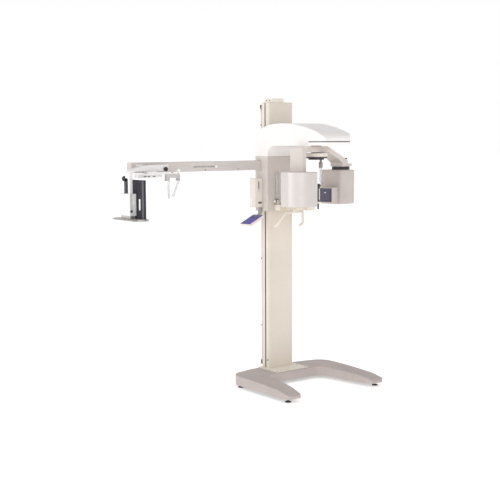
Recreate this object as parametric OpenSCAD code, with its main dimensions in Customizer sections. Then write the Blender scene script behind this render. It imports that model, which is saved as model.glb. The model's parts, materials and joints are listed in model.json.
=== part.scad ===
// Panoramic and cephalometric dental X-ray machine.
// Frame: +Z up, the patient side faces -Y, the cephalometric arm points to -X.
// Origin: on the floor, at the centre of the four levelling feet. Units: mm.

/* [Base] */
// Overall width of the U-shaped base
base_w = 882; // [840:1:1060]
// How far the leg tips reach in front of the feet centre
base_front = 324; // [320:1:400]
// How far the base reaches behind the feet centre
base_rear = 411; // [409:1:480]
// Width of a leg at its tip
leg_tip_w = 112; // [90:1:140]
// Width of a leg where it meets the cross-piece
leg_root_w = 184; // [150:1:210]
// Height of the base covers over the floor at the cross-piece
base_h = 88; // [86:1:110]
// Height of the base covers over the floor at the leg tips
tip_h = 57; // [54:1:75]
// Height of the skirt's lower edge over the floor
skirt_z = 20; // [10:1:26]
// Wall of the base covers
base_wall = 3; // [2:0.5:4]
// Distance between the left and the right levelling feet
foot_spacing_x = 806; // [780:1:820]
// Distance between the front and the rear levelling feet
foot_spacing_y = 540; // [480:1:560]
// Radius of a levelling foot's disc
foot_disc_r = 22; // [16:1:30]
// Radius of a levelling foot's threaded stud
foot_stud_r = 6; // [5:0.5:8]

/* [Column] */
// Width of the column
column_w = 220; // [200:1:264]
// Depth of the column
column_d = 90; // [88:1:120]
// Height of the column's top over the floor
column_top = 2043; // [1990:1:2450]
// Front face of the column behind the feet centre
column_y = 316; // [300:1:316]
// Wall of the column covers
column_wall = 3; // [2:0.5:4]
// Width of the side slots that the lift frame runs in
slot_w = 12; // [12:0.5:16]
// Height of the cap on the column
cap_h = 32; // [25:1:45]

/* [Carriage] */
// Width of the lifting carriage
carriage_w = 308; // [300:1:370]
// Wall of the carriage housing and the overhead shell
carriage_wall = 4; // [3:0.5:5]
// Height of the carriage's lower edge over the floor
carriage_z = 1259; // [1200:1:1262]
// Height of the seam between the housing and the overhead shell
seam_z = 1657; // [1650:1:1670]
// How far the housing stands in front of the column
housing_front = 39; // [35:1:46]
// Reach of the overhead shell in front of the column
overhang = 626; // [600:1:750]
// Width of the overhead shell at its tip
overhang_tip_w = 272; // [240:1:290]

/* [Rotor] */
// Distance from the column's front to the rotation axis
axis_reach = 400; // [396:1:420]
// Turn of the rotor at rest
rotor_angle = 12; // [0:1:20]
// Width of the rotor beam
beam_w = 108; // [90:1:130]
// Height of the rotor beam's section
beam_h = 41; // [36:1:46]
// Radius of the image drum
drum_r = 123; // [110:1:125]
// Height of the image drum
drum_h = 240; // [200:1:240]
// Distance from the rotation axis to the drum's own centre
drum_s = 197; // [180:1:200]
// Distance from the rotation axis to the drum's inner plate
drum_plate_s = 143; // [130:1:150]
// Wall of the drum and of the tube head
shell_wall = 3; // [2:0.5:4]

/* [Tube head] */
// Width of the tube head
head_w = 200; // [160:1:206]
// Height of the tube head
head_h = 244; // [200:1:244]
// Depth of the tube head
head_d = 173; // [155:1:185]
// Distance from the rotation axis to the tube head's inner face
head_s = 166; // [160:1:170]
// Distance from the rotation axis to the tube head's swivel axis
swivel_s = 290; // [270:1:300]
// Radius of the swivel disc
swivel_r = 63; // [50:1:66]

/* [Cephalometric arm] */
// Height of the arm's section
arm_h = 70; // [60:1:84]
// Depth of the arm's section
arm_d = 60; // [50:1:60]
// Wall of the arm
arm_wall = 3; // [2:0.5:4]
// Distance from the carriage's side to the arm's end
arm_reach = 1086; // [1000:1:1250]
// Height of the arm's lower face over the floor
arm_z = 1558; // [1540:1:1580]
// Width of the cassette holder
cassette_w = 240; // [220:1:260]
// Height of the cassette holder
cassette_h = 255; // [240:1:268]
// Length of an ear rod's bar
ear_bar = 128; // [110:1:140]

/* [Controls] */
// Width of the control box
box_x = 69; // [60:1:80]
// Depth of the control box
box_y = 71; // [60:1:80]
// Height of the control box
box_z = 210; // [180:1:230]
// Width of the keypad, along the carriage's side
keypad_w = 124; // [100:1:140]
// Length of the keypad, away from the carriage
keypad_l = 141; // [120:1:160]
// Thickness of the keypad housing
keypad_t = 19; // [15:1:24]
// Slope of the keypad at rest
keypad_tilt = 26.6; // [15:0.1:40]

/* [Patient support] */
// Width of the chin support at the carriage
chin_base_w = 182; // [140:1:220]
// Width of the ribbed chin support arm
chin_arm_w = 60; // [40:1:70]
// Height of the chin support
chin_h = 40; // [30:1:44]
// Distance between the two hand grips
grip_spacing = 152; // [130:1:180]
// Radius of the hand grip bar
grip_r = 10; // [6:0.5:12]

/* [Hidden] */
$fn = 64;

// --- shared places ---
half_base = base_w / 2;
foot_x = foot_spacing_x / 2;
foot_y = foot_spacing_y / 2;
column_x = column_w / 2;
column_back = column_y + column_d;
slot_y = column_y + column_d / 2;
foot_plate_t = 4;
column_z = base_h + foot_plate_t;
carriage_x = carriage_w / 2;
carriage_y = column_y - housing_front;
carriage_back = column_back + 15;
axis_y = column_y - axis_reach;
tip_y = column_y - overhang;

// --- small helpers ---
// A block from its lowest to its highest corner
module block(lo, hi) translate(lo) cube(hi - lo);
// The same piece on both sides of the middle plane
module both_sides() { children(); mirror([1, 0, 0]) children(); }
// A plan or profile in Y and Z, extruded along X between two places
module across(x0, x1) translate([x0, 0, 0]) rotate([90, 0, 90]) linear_extrude(x1 - x0) children();
// A round bar along X, along Y
module bar_x(x0, x1, y, z, r) translate([x0, y, z]) rotate([0, 90, 0]) cylinder(r = r, h = x1 - x0);
module bar_y(x, y0, y1, z, r) translate([x, y0, z]) rotate([-90, 0, 0]) cylinder(r = r, h = y1 - y0);
module bar_z(x, y, z0, z1, r) translate([x, y, z0]) cylinder(r = r, h = z1 - z0);
// Points of an arc, from one angle to another
function arc(c, r, a0, a1, n = 8) =
    [for (i = [0:n]) c + r * [cos(a0 + (a1 - a0) * i / n), sin(a0 + (a1 - a0) * i / n)]];
// A rectangle with its four corners rounded

// --- base ---
corner_r = 120;
rear_curve_r = 1237;
inner_fillet = 74;
corner_x = half_base - corner_r;
function rear_edge(x) = base_rear - rear_curve_r + sqrt(rear_curve_r * rear_curve_r - x * x);
inner_x = half_base - leg_root_w;
cross_front = column_y - 154;
split_x = 200;
notch_y = -foot_y + 13;
// Right half of the base seen from above, with its walls moved in by i
function half_plan(i) = concat(
    [for (k = [0:4]) [corner_x * k / 5, rear_edge(corner_x * k / 5) - i]],
    arc([corner_x, rear_edge(corner_x) - corner_r], corner_r - i, 88, 0, 12),
    arc([half_base - 26, -base_front + 26], 26 - i, 0, -90),
    arc([half_base - leg_tip_w + 16, -base_front + 16], 16 - i, -90, -170),
    arc([inner_x - inner_fillet, cross_front - inner_fillet], inner_fillet + i, 0, 90),
    [[0, cross_front + i]]);
// Side view of the base, from the rear to the leg tips
function base_side(i, low) = [[base_rear + 1, low], [base_rear + 1, base_h - i], [140, base_h - i],
    [-27, base_h - 4 - i], [-200, (base_h + tip_h) / 2 + 3 - i], [-base_front + 14, tip_h - i],
    [-base_front - 1, tip_h - 12 - i], [-base_front - 1, low]];
module half_base_body(i, low) intersection() {
    linear_extrude(base_h + 1) polygon(half_plan(i));
    across(-1, half_base + 1) polygon(base_side(i, low));
}
module half_cover() difference() {
    half_base_body(0, skirt_z);
    half_base_body(base_wall, skirt_z - 1);
    block([0, -base_front - 1, 0], [half_base + 1, notch_y, skirt_z + 8]);
}
module leg_cover() difference() {
    half_cover();
    block([-1, -base_front, 0], [split_x, base_rear + 1, base_h + 1]);
}
tube_z = 28;
tube_h = 22;
pad_z = 80;
pad_w = 250;
foot_nut_r = 10;
foot_nut_h = 8;
foot_disc_h = 8;
module base_frame() color("dimgray") difference() {
    union() {
        both_sides() {
            block([foot_x - 25, -foot_y - 30, tube_z], [foot_x + 25, foot_y - 64, tube_z + tube_h]);
            block([0, foot_y - 64, tube_z], [foot_x + 25, foot_y + 16, tube_z + tube_h]);
        }
        block([-pad_w / 2, foot_y - 64, tube_z + tube_h], [pad_w / 2, column_back - 9, pad_z]);
    }
    for (x = [-1, 1], y = [-1, 1]) bar_z(x * foot_x, y * foot_y, 0, pad_z, foot_stud_r + 0.2);
}
module base_cover_left() color("#b9aeac") mirror([1, 0, 0]) leg_cover();
module base_cover_right() color("#b9aeac") leg_cover();
module base_cover_cross() color("#b9aeac") difference() {
    both_sides() half_cover();
    both_sides() block([split_x, -base_front - 1, 0], [half_base + 1, base_rear + 1, base_h + 1]);
    block([-mast_x - 2, column_y - 1, pad_z - 1], [mast_x + 2, column_back + 1, base_h + 1]);
}
module column_foot_plate() color("#e9e2d6") difference() {
    block([-150, cross_front + 11, base_h], [150, column_back, column_z]);
    block([-mast_x - 2, column_y + 2, base_h - 1], [mast_x + 2, column_back - 2, column_z + 1]);
}
// Each foot with the locknut that holds its height
module levelling_feet() color("#6e6a66")
    for (x = [-foot_x, foot_x], y = [-foot_y, foot_y]) translate([x, y, 0]) {
    cylinder(r = foot_disc_r, h = foot_disc_h);
    translate([0, 0, foot_disc_h]) cylinder(r = foot_stud_r, h = tube_z + tube_h - foot_disc_h);
    difference() {
        translate([0, 0, tube_z - foot_nut_h]) cylinder(r = foot_nut_r, h = foot_nut_h, $fn = 6);
        cylinder(r = foot_stud_r + 0.1, h = tube_z + 1);
    }
}

// --- column ---
mast_x = 104;
mast_wall = 4;
web_x = mast_x - 26;
mast_gap = column_wall + 2;
pulley_r = 28;
pulley_w = 22;
shaft_r = 8;
lower_z = 190;
upper_z = column_top - 68;
belt_gap = 0.3;
belt_t = 3;
belt_w = 20;
run_fit = 0.05;
lift_slot_z = [560, 1880];
module channel() difference() {
    block([web_x - mast_wall, column_y + mast_gap, pad_z], [mast_x, column_back - mast_gap, column_top - 3]);
    block([web_x, column_y + mast_gap + mast_wall, pad_z - 1],
        [mast_x + 1, column_back - mast_gap - mast_wall, column_top]);
}
module mast_frame() color("#5d5566") difference() {
    union() {
        both_sides() channel();
        for (z = [pad_z, column_top - 15])
            block([-mast_x, column_y + mast_gap, z], [mast_x, column_back - mast_gap, z + 12]);
    }
    both_sides() block([0, slot_y - slot_w / 2 - 1, lift_slot_z[0]],
        [mast_x + 1, slot_y + slot_w / 2 + 1, lift_slot_z[1]]);
    for (z = [lower_z, upper_z]) bar_x(-mast_x - 1, mast_x + 1, slot_y, z, shaft_r + run_fit);
}
// One U-shaped column cover, from its outer face to the edge of the side slot
module column_cover(y_face, y_slot) difference() {
    block([-column_x, min(y_face, y_slot), column_z], [column_x, max(y_face, y_slot), column_top]);
    block([-column_x + column_wall, min(y_face + column_wall, y_slot - 1), column_z - 1],
        [column_x - column_wall, max(y_face - column_wall, y_slot + 1), column_top + 1]);
}
module column_front_cover() color("#e6ddd0") column_cover(column_y, slot_y - slot_w / 2);
module column_rear_cover() color("#e6ddd0") column_cover(column_back, slot_y + slot_w / 2);
module column_cap() color("#f0ece2") {
    block([-column_x, column_y, column_top], [column_x, column_back, column_top + 4]);
    difference() {
        block([-78, column_y + 2, column_top + 4], [30, column_back - 2, column_top + cap_h]);
        for (y = [column_y + 30, column_y + 68]) bar_x(-79, -70, y, column_top + cap_h / 2 + 2, 5);
    }
}
module pulley(z) {
    bar_x(-pulley_w / 2, pulley_w / 2, slot_y, z, pulley_r);
    bar_x(-mast_x + 6, mast_x - 6, slot_y, z, shaft_r);
}
module lower_pulley() color("#8d8d92") pulley(lower_z);
module upper_pulley() color("#8d8d92") pulley(upper_z);
module belt_loop(r, w) {
    for (z = [lower_z, upper_z]) bar_x(-w / 2, w / 2, slot_y, z, r);
    block([-w / 2, slot_y - r, lower_z], [w / 2, slot_y + r, upper_z]);
}
belt_r = pulley_r + belt_gap;
module lift_belt() color("#222222") difference() {
    belt_loop(belt_r + belt_t, belt_w);
    belt_loop(belt_r, belt_w + 2);
}
weight_z = [420, 1020];
module counterweight() color("#55585c") difference() {
    block([-web_x + 8, slot_y + slot_w / 2 + 3, weight_z[0]],
        [web_x - 8, column_back - mast_gap - 1, weight_z[1]]);
    block([-belt_w / 2 - 1.5, slot_y + belt_r - 1.5, weight_z[0] - 1],
        [belt_w / 2 + 1.5, slot_y + belt_r + belt_t + 1.5, weight_z[1] + 1]);
}
module lift_motor() color("#3f4348") difference() {
    union() {
        block([pulley_w / 2 + 5, slot_y - 30, lower_z - 32], [web_x - mast_wall, slot_y + 30, lower_z + 32]);
        bar_z(44, slot_y, lower_z - 80, lower_z - 32, 27);
    }
    bar_x(0, web_x, slot_y, lower_z, shaft_r + 0.3);
}
cable_x = -mast_x;
cable_r = 3.5;
cable_y = column_back + cable_r + 0.2;
cable_z = [150, 1990];
module cable_fittings() color("#2b2b2e") {
    for (z = [400, 900, 1880]) difference() {
        block([cable_x - 7, column_back, z], [cable_x + 7, cable_y + cable_r + 1.5, z + 8]);
        bar_z(cable_x, cable_y, z - 1, z + 9, cable_r + 0.1);
    }
    block([cable_x - 5, column_back, cable_z[1]], [cable_x + 5, cable_y + 5, cable_z[1] + 14]);
    block([cable_x - 8, column_back, cable_z[1] + 14], [cable_x + 8, cable_y + 8, cable_z[1] + 40]);
    block([cable_x - 5, column_back, cable_z[0] - 12], [cable_x + 5, cable_y + 5, cable_z[0]]);
    block([cable_x - 8, column_back, cable_z[0] - 40], [cable_x + 8, cable_y + 8, cable_z[0] - 12]);
}
module mast_cable() color("#8f8f90") bar_z(cable_x, cable_y, cable_z[0], cable_z[1], cable_r);

// --- carriage ---
plate_in = column_x + 4;
plate_out = plate_in + 8;
shoe_z = [1330, 1600];
shoe_h = 64;
bar_h = 24;
bar_d = slot_w - 2;
frame_z = [1300, 1790];
beam_y0 = axis_y - 70;
overhead_z = 1734;
axis_plate_z = overhead_z + 11;
axis_plate_t = 12;
spindle_r = 20;
module lift_frame() color("#6b6f75") difference() {
    union() {
        both_sides() {
            block([plate_in, slot_y - 30, frame_z[0]], [plate_out, slot_y + 30, frame_z[1]]);
            block([plate_in, beam_y0, axis_plate_z], [plate_out, slot_y + 30, frame_z[1]]);
        }
        for (z = shoe_z)
            block([-plate_out, slot_y - bar_d / 2, z - bar_h / 2],
                [plate_out, slot_y + bar_d / 2, z + bar_h / 2]);
        block([-14, slot_y - belt_r - belt_t - 3, shoe_z[0] - bar_h / 2],
            [14, slot_y, shoe_z[0] + bar_h / 2]);
        block([-plate_in, beam_y0, axis_plate_z], [plate_in, axis_y + 70, axis_plate_z + axis_plate_t]);
    }
    block([-belt_w / 2 - 0.5, slot_y - belt_r - belt_t - 0.5, shoe_z[0] - bar_h],
        [belt_w / 2 + 0.5, slot_y - belt_r + 0.5, shoe_z[0] + bar_h]);
    bar_z(0, axis_y, axis_plate_z - 1, axis_plate_z + axis_plate_t + 1, spindle_r + 0.2);
}
module guide_shoes() color("#e8e8e0") both_sides() for (z = shoe_z) difference() {
    block([web_x + 2, column_y + mast_gap + mast_wall + 0.5, z - shoe_h / 2],
        [mast_x - 2, column_back - mast_gap - mast_wall - 0.5, z + shoe_h / 2]);
    block([web_x, slot_y - bar_d / 2, z - bar_h / 2], [mast_x, slot_y + bar_d / 2, z + bar_h / 2]);
}
arm_y = slot_y - 11;
hole_gap = 3;
module carriage_housing() color("#e4dcd6") difference() {
    block([-carriage_x, carriage_y, carriage_z], [carriage_x, carriage_back - 3, seam_z]);
    block([-carriage_x + carriage_wall, carriage_y + carriage_wall, carriage_z + carriage_wall],
        [carriage_x - carriage_wall, carriage_back, seam_z + 1]);
    block([-column_x - hole_gap, column_y - hole_gap, carriage_z - 1],
        [column_x + hole_gap, carriage_back, carriage_z + 6]);
    block([-carriage_x - 1, arm_y - 0.5, arm_z - 0.5],
        [-carriage_x + carriage_wall + 1, arm_y + arm_d + 0.5, arm_z + arm_h + 0.5]);
}
module carriage_back_panel() color("#d6cec8")
    block([-carriage_x, carriage_back - 3, carriage_z], [carriage_x, carriage_back, seam_z]);
// Side view of the overhead shell, with its walls moved in by i
fillet_r = 74;
function overhead_side(i) = concat(
    [[carriage_back - i, seam_z - (i > 0 ? 1 : 0)], [carriage_back - i, 1826 - i]],
    [for (p = [[390, 1844], [340, 1861], [266, 1883], [140, 1892], [16, 1888], [-40, 1879],
        [-130, 1862], [-226, 1836], [-270, 1819], [-296, 1804]]) [p[0] + (p[0] < -250 ? i : 0), p[1] - i]],
    [[tip_y + 4 + i, 1792], [tip_y + i, 1776], [tip_y + i, overhead_z + 8]],
    [[tip_y + 6 + i, overhead_z - (i > 0 ? 1 : 0)]],
    [for (p = arc([carriage_y - fillet_r, overhead_z - fillet_r], fillet_r + i, 90, 0))
        [p[0], (i > 0 && p[0] < carriage_y - fillet_r + 1) ? overhead_z - 1 : p[1]]],
    [[carriage_y + i, seam_z - (i > 0 ? 1 : 0)]]);
// The shell seen from above: full width at the carriage, narrower and rounded at the tip
function overhead_plan(i) = concat(
    [[carriage_x - i, carriage_back - i + 1], [carriage_x - i, carriage_y]],
    arc([overhang_tip_w / 2 - 40, tip_y + 40], 40 - i, 5, -80),
    arc([-overhang_tip_w / 2 + 40, tip_y + 40], 40 - i, -100, -185),
    [[-carriage_x + i, carriage_y], [-carriage_x + i, carriage_back - i + 1]]);
module overhead_body(i) intersection() {
    across(-carriage_x - 1, carriage_x + 1) polygon(overhead_side(i));
    translate([0, 0, seam_z - 2]) linear_extrude(260) polygon(overhead_plan(i));
}
trim_z = 1757;
trim_h = 7;
trim_y = axis_y - 82;
module trim_band(i) intersection() {
    translate([0, 0, trim_z]) linear_extrude(trim_h) polygon(overhead_plan(i));
    across(-carriage_x, carriage_x) polygon(overhead_side(i));
    block([-carriage_x, tip_y - 1, trim_z], [carriage_x, trim_y, trim_z + trim_h]);
}
module overhead_shell() color("#f4f1ef") difference() {
    overhead_body(0);
    overhead_body(carriage_wall);
    block([-column_x - hole_gap, column_y - hole_gap, seam_z - 1],
        [column_x + hole_gap, cable_y + 6, column_top]);
    difference() {
        trim_band(0);
        trim_band(1.5);
    }
}
module overhead_trim() color("#4a4547") difference() {
    trim_band(0);
    translate([0, 0, trim_z - 1]) linear_extrude(trim_h + 2) polygon(overhead_plan(1.5));
}
module overhead_pan() color("#d9d0ca") difference() {
    intersection() {
        translate([0, 0, overhead_z]) linear_extrude(3) polygon(overhead_plan(carriage_wall));
        block([-carriage_x, tip_y + 6 + carriage_wall, overhead_z],
            [carriage_x, carriage_y - fillet_r, overhead_z + 3]);
    }
    bar_z(0, axis_y, overhead_z - 1, overhead_z + 4, 46);
}
beam_z = overhead_z - 5 - beam_h;
disc_z = beam_z - 7;
// Hollow spindle that the rotor hangs from: its flange rests on the axis plate, its disc closes the hub below
plate_top = axis_plate_z + axis_plate_t;
spindle_bore_r = 12;
module spindle_disc() color("#e4dcd0") translate([0, axis_y, 0]) rotate_extrude() polygon([
    [spindle_bore_r, disc_z - 46], [55, disc_z - 46], [55, disc_z - 36], [76, disc_z - 36],
    [76, disc_z - 24], [80, disc_z - 24], [80, disc_z], [spindle_r, disc_z], [spindle_r, plate_top],
    [48, plate_top], [48, plate_top + 8], [spindle_bore_r, plate_top + 8]]);
module slew_motor() color("#3f4348") {
    block([-98, axis_y + 50, plate_top], [-50, axis_y + 68, plate_top + 44]);
    block([-98, axis_y - 40, plate_top], [-54, axis_y + 50, plate_top + 40]);
    bar_x(-50, 40, axis_y + 68, plate_top + 22, 16);
}
head_bar_x = 42;
head_bar_z = [1478, 1577];
module head_bar_bracket() color("#8e8a86") {
    bar_z(head_bar_x, axis_y, head_bar_z[1] + 41, disc_z - 46, 8);
    block([head_bar_x - 11, axis_y - 10, head_bar_z[1]], [head_bar_x + 11, axis_y + 10, head_bar_z[1] + 41]);
}
module head_bar() color("#dfe6ec")
    block([head_bar_x - 9, axis_y - 3, head_bar_z[0]], [head_bar_x + 9, axis_y + 3, head_bar_z[1]]);

// --- patient support ---
chin_z = [carriage_z + 7, carriage_z + 7 + chin_h];
chin_base_d = 61;
chin_arm_end = axis_y + 50;
rib_pitch = 14;
temple_x = 72;
temple_y = carriage_y - 13;
lug_in = 6;
lug_out = 10;
temple_z = chin_z[1] + 26;
pin_r = 4;
post_x = 19;
tongue_z = [chin_z[1] + 21, chin_z[1] + 33];
module chin_support() color("#ece2cf") difference() {
    union() {
        block([-chin_base_w / 2, carriage_y - chin_base_d, chin_z[0]],
            [chin_base_w / 2, carriage_y, chin_z[1]]);
        block([-chin_arm_w / 2, chin_arm_end, chin_z[0] + 9],
            [chin_arm_w / 2, carriage_y - chin_base_d, chin_z[1]]);
        block([post_x - 12, chin_arm_end, chin_z[1]], [post_x + 12, chin_arm_end + 14, tongue_z[1]]);
        block([post_x - 12, axis_y - 12, tongue_z[0]], [post_x + 12, chin_arm_end + 1, tongue_z[1]]);
        both_sides() for (y = [temple_y - lug_out, temple_y + lug_in])
            block([temple_x - 9, y, chin_z[1]], [temple_x + 9, y + lug_out - lug_in, temple_z + 8]);
    }
    both_sides() for (y = [chin_arm_end + 12 : rib_pitch : carriage_y - chin_base_d - 12])
        block([chin_arm_w / 2 - 4, y, chin_z[0]], [chin_arm_w / 2 + 1, y + rib_pitch / 2, chin_z[1] - 4]);
    bar_z(post_x, axis_y, tongue_z[0] - 1, tongue_z[1] + 1, 6 + run_fit);
    both_sides() bar_y(temple_x, temple_y - lug_out - 1, temple_y + lug_out + 1, temple_z, pin_r + run_fit);
}
clamp_z = [tongue_z[1] + 92, tongue_z[1] + 128];
module bite_post() color("#232327") {
    bar_z(post_x, axis_y, tongue_z[0] - 40, clamp_z[0] + 10, 6);
    bar_z(post_x, axis_y, tongue_z[1] + 0.5, tongue_z[1] + 14, 11);
    block([post_x - 11, axis_y - 9, clamp_z[0]], [post_x + 10, axis_y + 9, clamp_z[1]]);
    bar_y(post_x, axis_y - 22, axis_y - 9, clamp_z[0] + 22, 7);
}
grip_y = carriage_y - 121;
grip_z = chin_z[0] - grip_r - 1;
grip_foot = 36;
grip_path = [[grip_spacing / 2, grip_y, grip_z], [grip_spacing / 2 + 43, grip_y + 50, grip_z - 85],
    [grip_spacing / 2 + 43, grip_y + 64, grip_z - 98], [grip_spacing / 2 + 36, grip_y + 78, grip_z - 105]];
module hand_grip_bar() color("#e0d9cf") {
    both_sides() {
        bar_x(0, grip_spacing / 2, grip_y, grip_z, grip_r);
        for (i = [0:2]) hull() {
            translate(grip_path[i]) sphere(r = grip_r, $fn = 24);
            translate(grip_path[i + 1]) sphere(r = grip_r, $fn = 24);
        }
    }
    block([-grip_foot / 2, grip_y - 10, grip_z], [grip_foot / 2, grip_y + 10, chin_z[0] + 9]);
}
module temple_bar() {
    block([temple_x - 9.5, temple_y - 4, temple_z + 17], [temple_x + 9.5, temple_y + 4, temple_z + 200]);
    block([temple_x - 9.5, temple_y - 5.5, temple_z - 7], [temple_x + 9.5, temple_y + 5.5, temple_z + 18]);
    bar_y(temple_x, temple_y - lug_out, temple_y + lug_out, temple_z, pin_r);
    bar_x(temple_x - 20, temple_x + 24, temple_y, temple_z, 3);
    translate([temple_x + 24, temple_y, temple_z]) sphere(r = 8);
    translate([temple_x - 22, temple_y, temple_z]) sphere(r = 6);
}
module temple_bar_left() color("#dfe3ea") mirror([1, 0, 0]) temple_bar();
module temple_bar_right() color("#dfe3ea") temple_bar();

// --- controls ---
box_lo = [-carriage_x - box_x, slot_y - 29, carriage_z + 30];
box_hi = [-carriage_x, slot_y - 29 + box_y, carriage_z + 30 + box_z];
box_wall = 3;
rocker_x = box_lo[0] + 43;
rocker_z = box_lo[2] + 33;
rocker_y = box_lo[1] + 4;
rocker_pin_r = 2;
module control_box() color("#e9e1d8") difference() {
    block(box_lo, box_hi);
    block(box_lo + [box_wall, 13, box_wall], box_hi + [1, -box_wall, -box_wall]);
    block([rocker_x - 14, box_lo[1] - 1, rocker_z - 6], [rocker_x + 14, box_lo[1] + 9, rocker_z + 6]);
    bar_z(rocker_x, rocker_y, rocker_z - 9.5, rocker_z + 9.5, rocker_pin_r + run_fit);
    block([box_lo[0] + 29, box_lo[1] - 1, box_hi[2] - 79], [box_lo[0] + 37, box_lo[1] + 4, box_hi[2] - 22]);
    bar_x(box_lo[0] - 1, box_lo[0] + 2, box_lo[1] + 47, box_lo[2] + 41, 18);
}
module box_rocker() color("#1d1d20") {
    block([rocker_x - 12.5, box_lo[1] - 3, rocker_z - 4.5], [rocker_x + 12.5, box_lo[1] + 6, rocker_z + 4.5]);
    bar_z(rocker_x, rocker_y, rocker_z - 9, rocker_z + 9, rocker_pin_r);
}
hinge_x = -carriage_x - 6;
hinge_z = carriage_z - 29;
hinge_y = [slot_y - 18, slot_y + 18];
keypad_y = slot_y - 3 - keypad_w / 2;
module keypad_bracket() color("#c9d3d8") difference() {
    union() {
        block([hinge_x - 4, hinge_y[0], hinge_z], [hinge_x + 4, hinge_y[1], box_lo[2]]);
        bar_y(hinge_x, hinge_y[0], hinge_y[1], hinge_z, 6);
    }
    bar_y(hinge_x, hinge_y[0] - 1, hinge_y[1] + 1, hinge_z, pin_r + run_fit);
}
module on_keypad() translate([hinge_x, keypad_y, hinge_z]) rotate([0, -keypad_tilt, 0]) children();
module keypad_housing() color("#e6e0d4") on_keypad() {
    translate([-12 - keypad_l, 0, -keypad_t / 2]) cube([keypad_l, keypad_w, keypad_t]);
    for (y = [hinge_y[0] - keypad_y - 12.5, hinge_y[1] - keypad_y + 0.5])
        translate([-14, y, -6]) cube([20, 12, 12]);
    bar_y(0, hinge_y[0] - keypad_y - 12, hinge_y[1] - keypad_y + 12, 0, pin_r);
}
module keypad_membrane() color("#5a4aa0") on_keypad()
    translate([-8 - keypad_l, 5, keypad_t / 2]) cube([keypad_l - 9, keypad_w - 10, 1.2]);

// --- rotor ---
// Local x runs from the axis to the tube head, local y across the rotor
module on_rotor() translate([0, axis_y, 0]) rotate(rotor_angle) children();
module across_rotor(w) translate([0, w / 2, 0]) rotate([90, 0, 0]) linear_extrude(w) children();
drum_z = beam_z + beam_h - 413;
boss_z = drum_z + 266;
beam_top = beam_z + beam_h;
leg_s = [-222, -181];
lock_s = 338;
step_h = 22;
swivel_pin_r = 15;
swivel_pin_h = 17;
module rotor_arm() color("#cfc5bd") on_rotor() difference() {
    union() {
        across_rotor(beam_w) polygon(concat(
            [[leg_s[1], drum_z + drum_h], [leg_s[0], drum_z + drum_h]],
            arc([leg_s[0] + 16, beam_top - 16], 16, 180, 90),
            [[62, beam_top], [290, beam_top - 97], [304, beam_top - 104], [304, boss_z + step_h],
            [352, boss_z + step_h], [352, boss_z], [238, boss_z], [238, boss_z + 28], [194, beam_top - 92],
            [72, beam_z], [leg_s[1] + 8, beam_z], [leg_s[1], beam_z - 8]]));
        cylinder_at(36, disc_z + 0.5, axis_plate_z - 1);
    }
    cylinder_at(spindle_r + run_fit, disc_z, axis_plate_z);
    translate([swivel_s, 0, boss_z - 1]) cylinder(r = swivel_pin_r + run_fit, h = swivel_pin_h + 2);
    translate([lock_s, 0, boss_z - 1]) cylinder(r = pin_r + run_fit, h = step_h + 2);
}
module cylinder_at(r, z0, z1) translate([0, 0, z0]) cylinder(r = r, h = z1 - z0);
drum_open_s = -drum_plate_s - shell_wall;
function drum_plan(i) = concat(arc([-drum_s, 0], drum_r - i, 90, 270, 24),
    [for (y = [-drum_r + i, drum_r - i]) [drum_open_s + (i > 0 ? 1 : 0), y]]);
module drum_shell() color("#cdc6c4") on_rotor() difference() {
    translate([0, 0, drum_z]) linear_extrude(drum_h) polygon(drum_plan(0));
    translate([0, 0, drum_z + shell_wall]) linear_extrude(drum_h - 2 * shell_wall)
        polygon(drum_plan(shell_wall));
}
module drum_plate() color("#bdb5b1") on_rotor() difference() {
    block([drum_open_s, -drum_r, drum_z], [-drum_plate_s, drum_r, drum_z + drum_h]);
    block([-drum_plate_s - 4, -5, drum_z + 34], [-drum_plate_s + 1, 5, drum_z + drum_h - 34]);
}
module image_receptor() color("#3a3a40") on_rotor() {
    translate([0, 0, drum_z + 36]) linear_extrude(drum_h - 36 - shell_wall) polygon(concat(
        arc([-drum_s, 0], drum_r - 10, 115, 245, 16), arc([-drum_s, 0], drum_r - 16, 245, 115, 16)));
}
head_seam_s = head_s + head_d / 2;
head_front_r = 22;
head_rear_r = 30;
// Tube head seen from above, with its walls moved in by i
function head_plan(i) = concat(
    arc([head_s + head_front_r, head_w / 2 - head_front_r], head_front_r - i, 90, 180),
    arc([head_s + head_front_r, -head_w / 2 + head_front_r], head_front_r - i, 180, 270),
    arc([head_s + head_d - head_rear_r, -head_w / 2 + head_rear_r], head_rear_r - i, 270, 360),
    arc([head_s + head_d - head_rear_r, head_w / 2 - head_rear_r], head_rear_r - i, 0, 90));
module head_block(i) translate([0, 0, drum_z + i]) linear_extrude(head_h - 2 * i) polygon(head_plan(i));
window_s = 95;
window_y = [-69, 43];
window_z = [drum_z + 14, drum_z + 121];
module head_shell() difference() {
    union() {
        head_block(0);
        block([window_s, window_y[0], window_z[0]], [head_s + 10, window_y[1], window_z[1]]);
    }
    head_block(shell_wall);
    block([window_s - 1, window_y[0] + 5, window_z[0] + 5], [head_s + 10, window_y[1] - 5, window_z[1] - 5]);
}
module tube_head_front() color("#bfb4ae") on_rotor() difference() {
    head_shell();
    block([head_seam_s, -head_w, 0], [head_s + head_d + 1, head_w, 2000]);
}
module tube_head_rear() color("#c9c0bb") on_rotor() difference() {
    head_shell();
    block([0, -head_w, 0], [head_seam_s, head_w, 2000]);
}
tube_len = head_w - 40;
module xray_tube() color("#7d7f86") on_rotor() {
    translate([head_s + 84, tube_len / 2, drum_z + 75]) rotate([90, 0, 0]) cylinder(r = 48, h = tube_len);
    block([head_s + 50, -60, drum_z + 110], [head_s + 120, 60, drum_z + head_h - shell_wall]);
}
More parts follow.
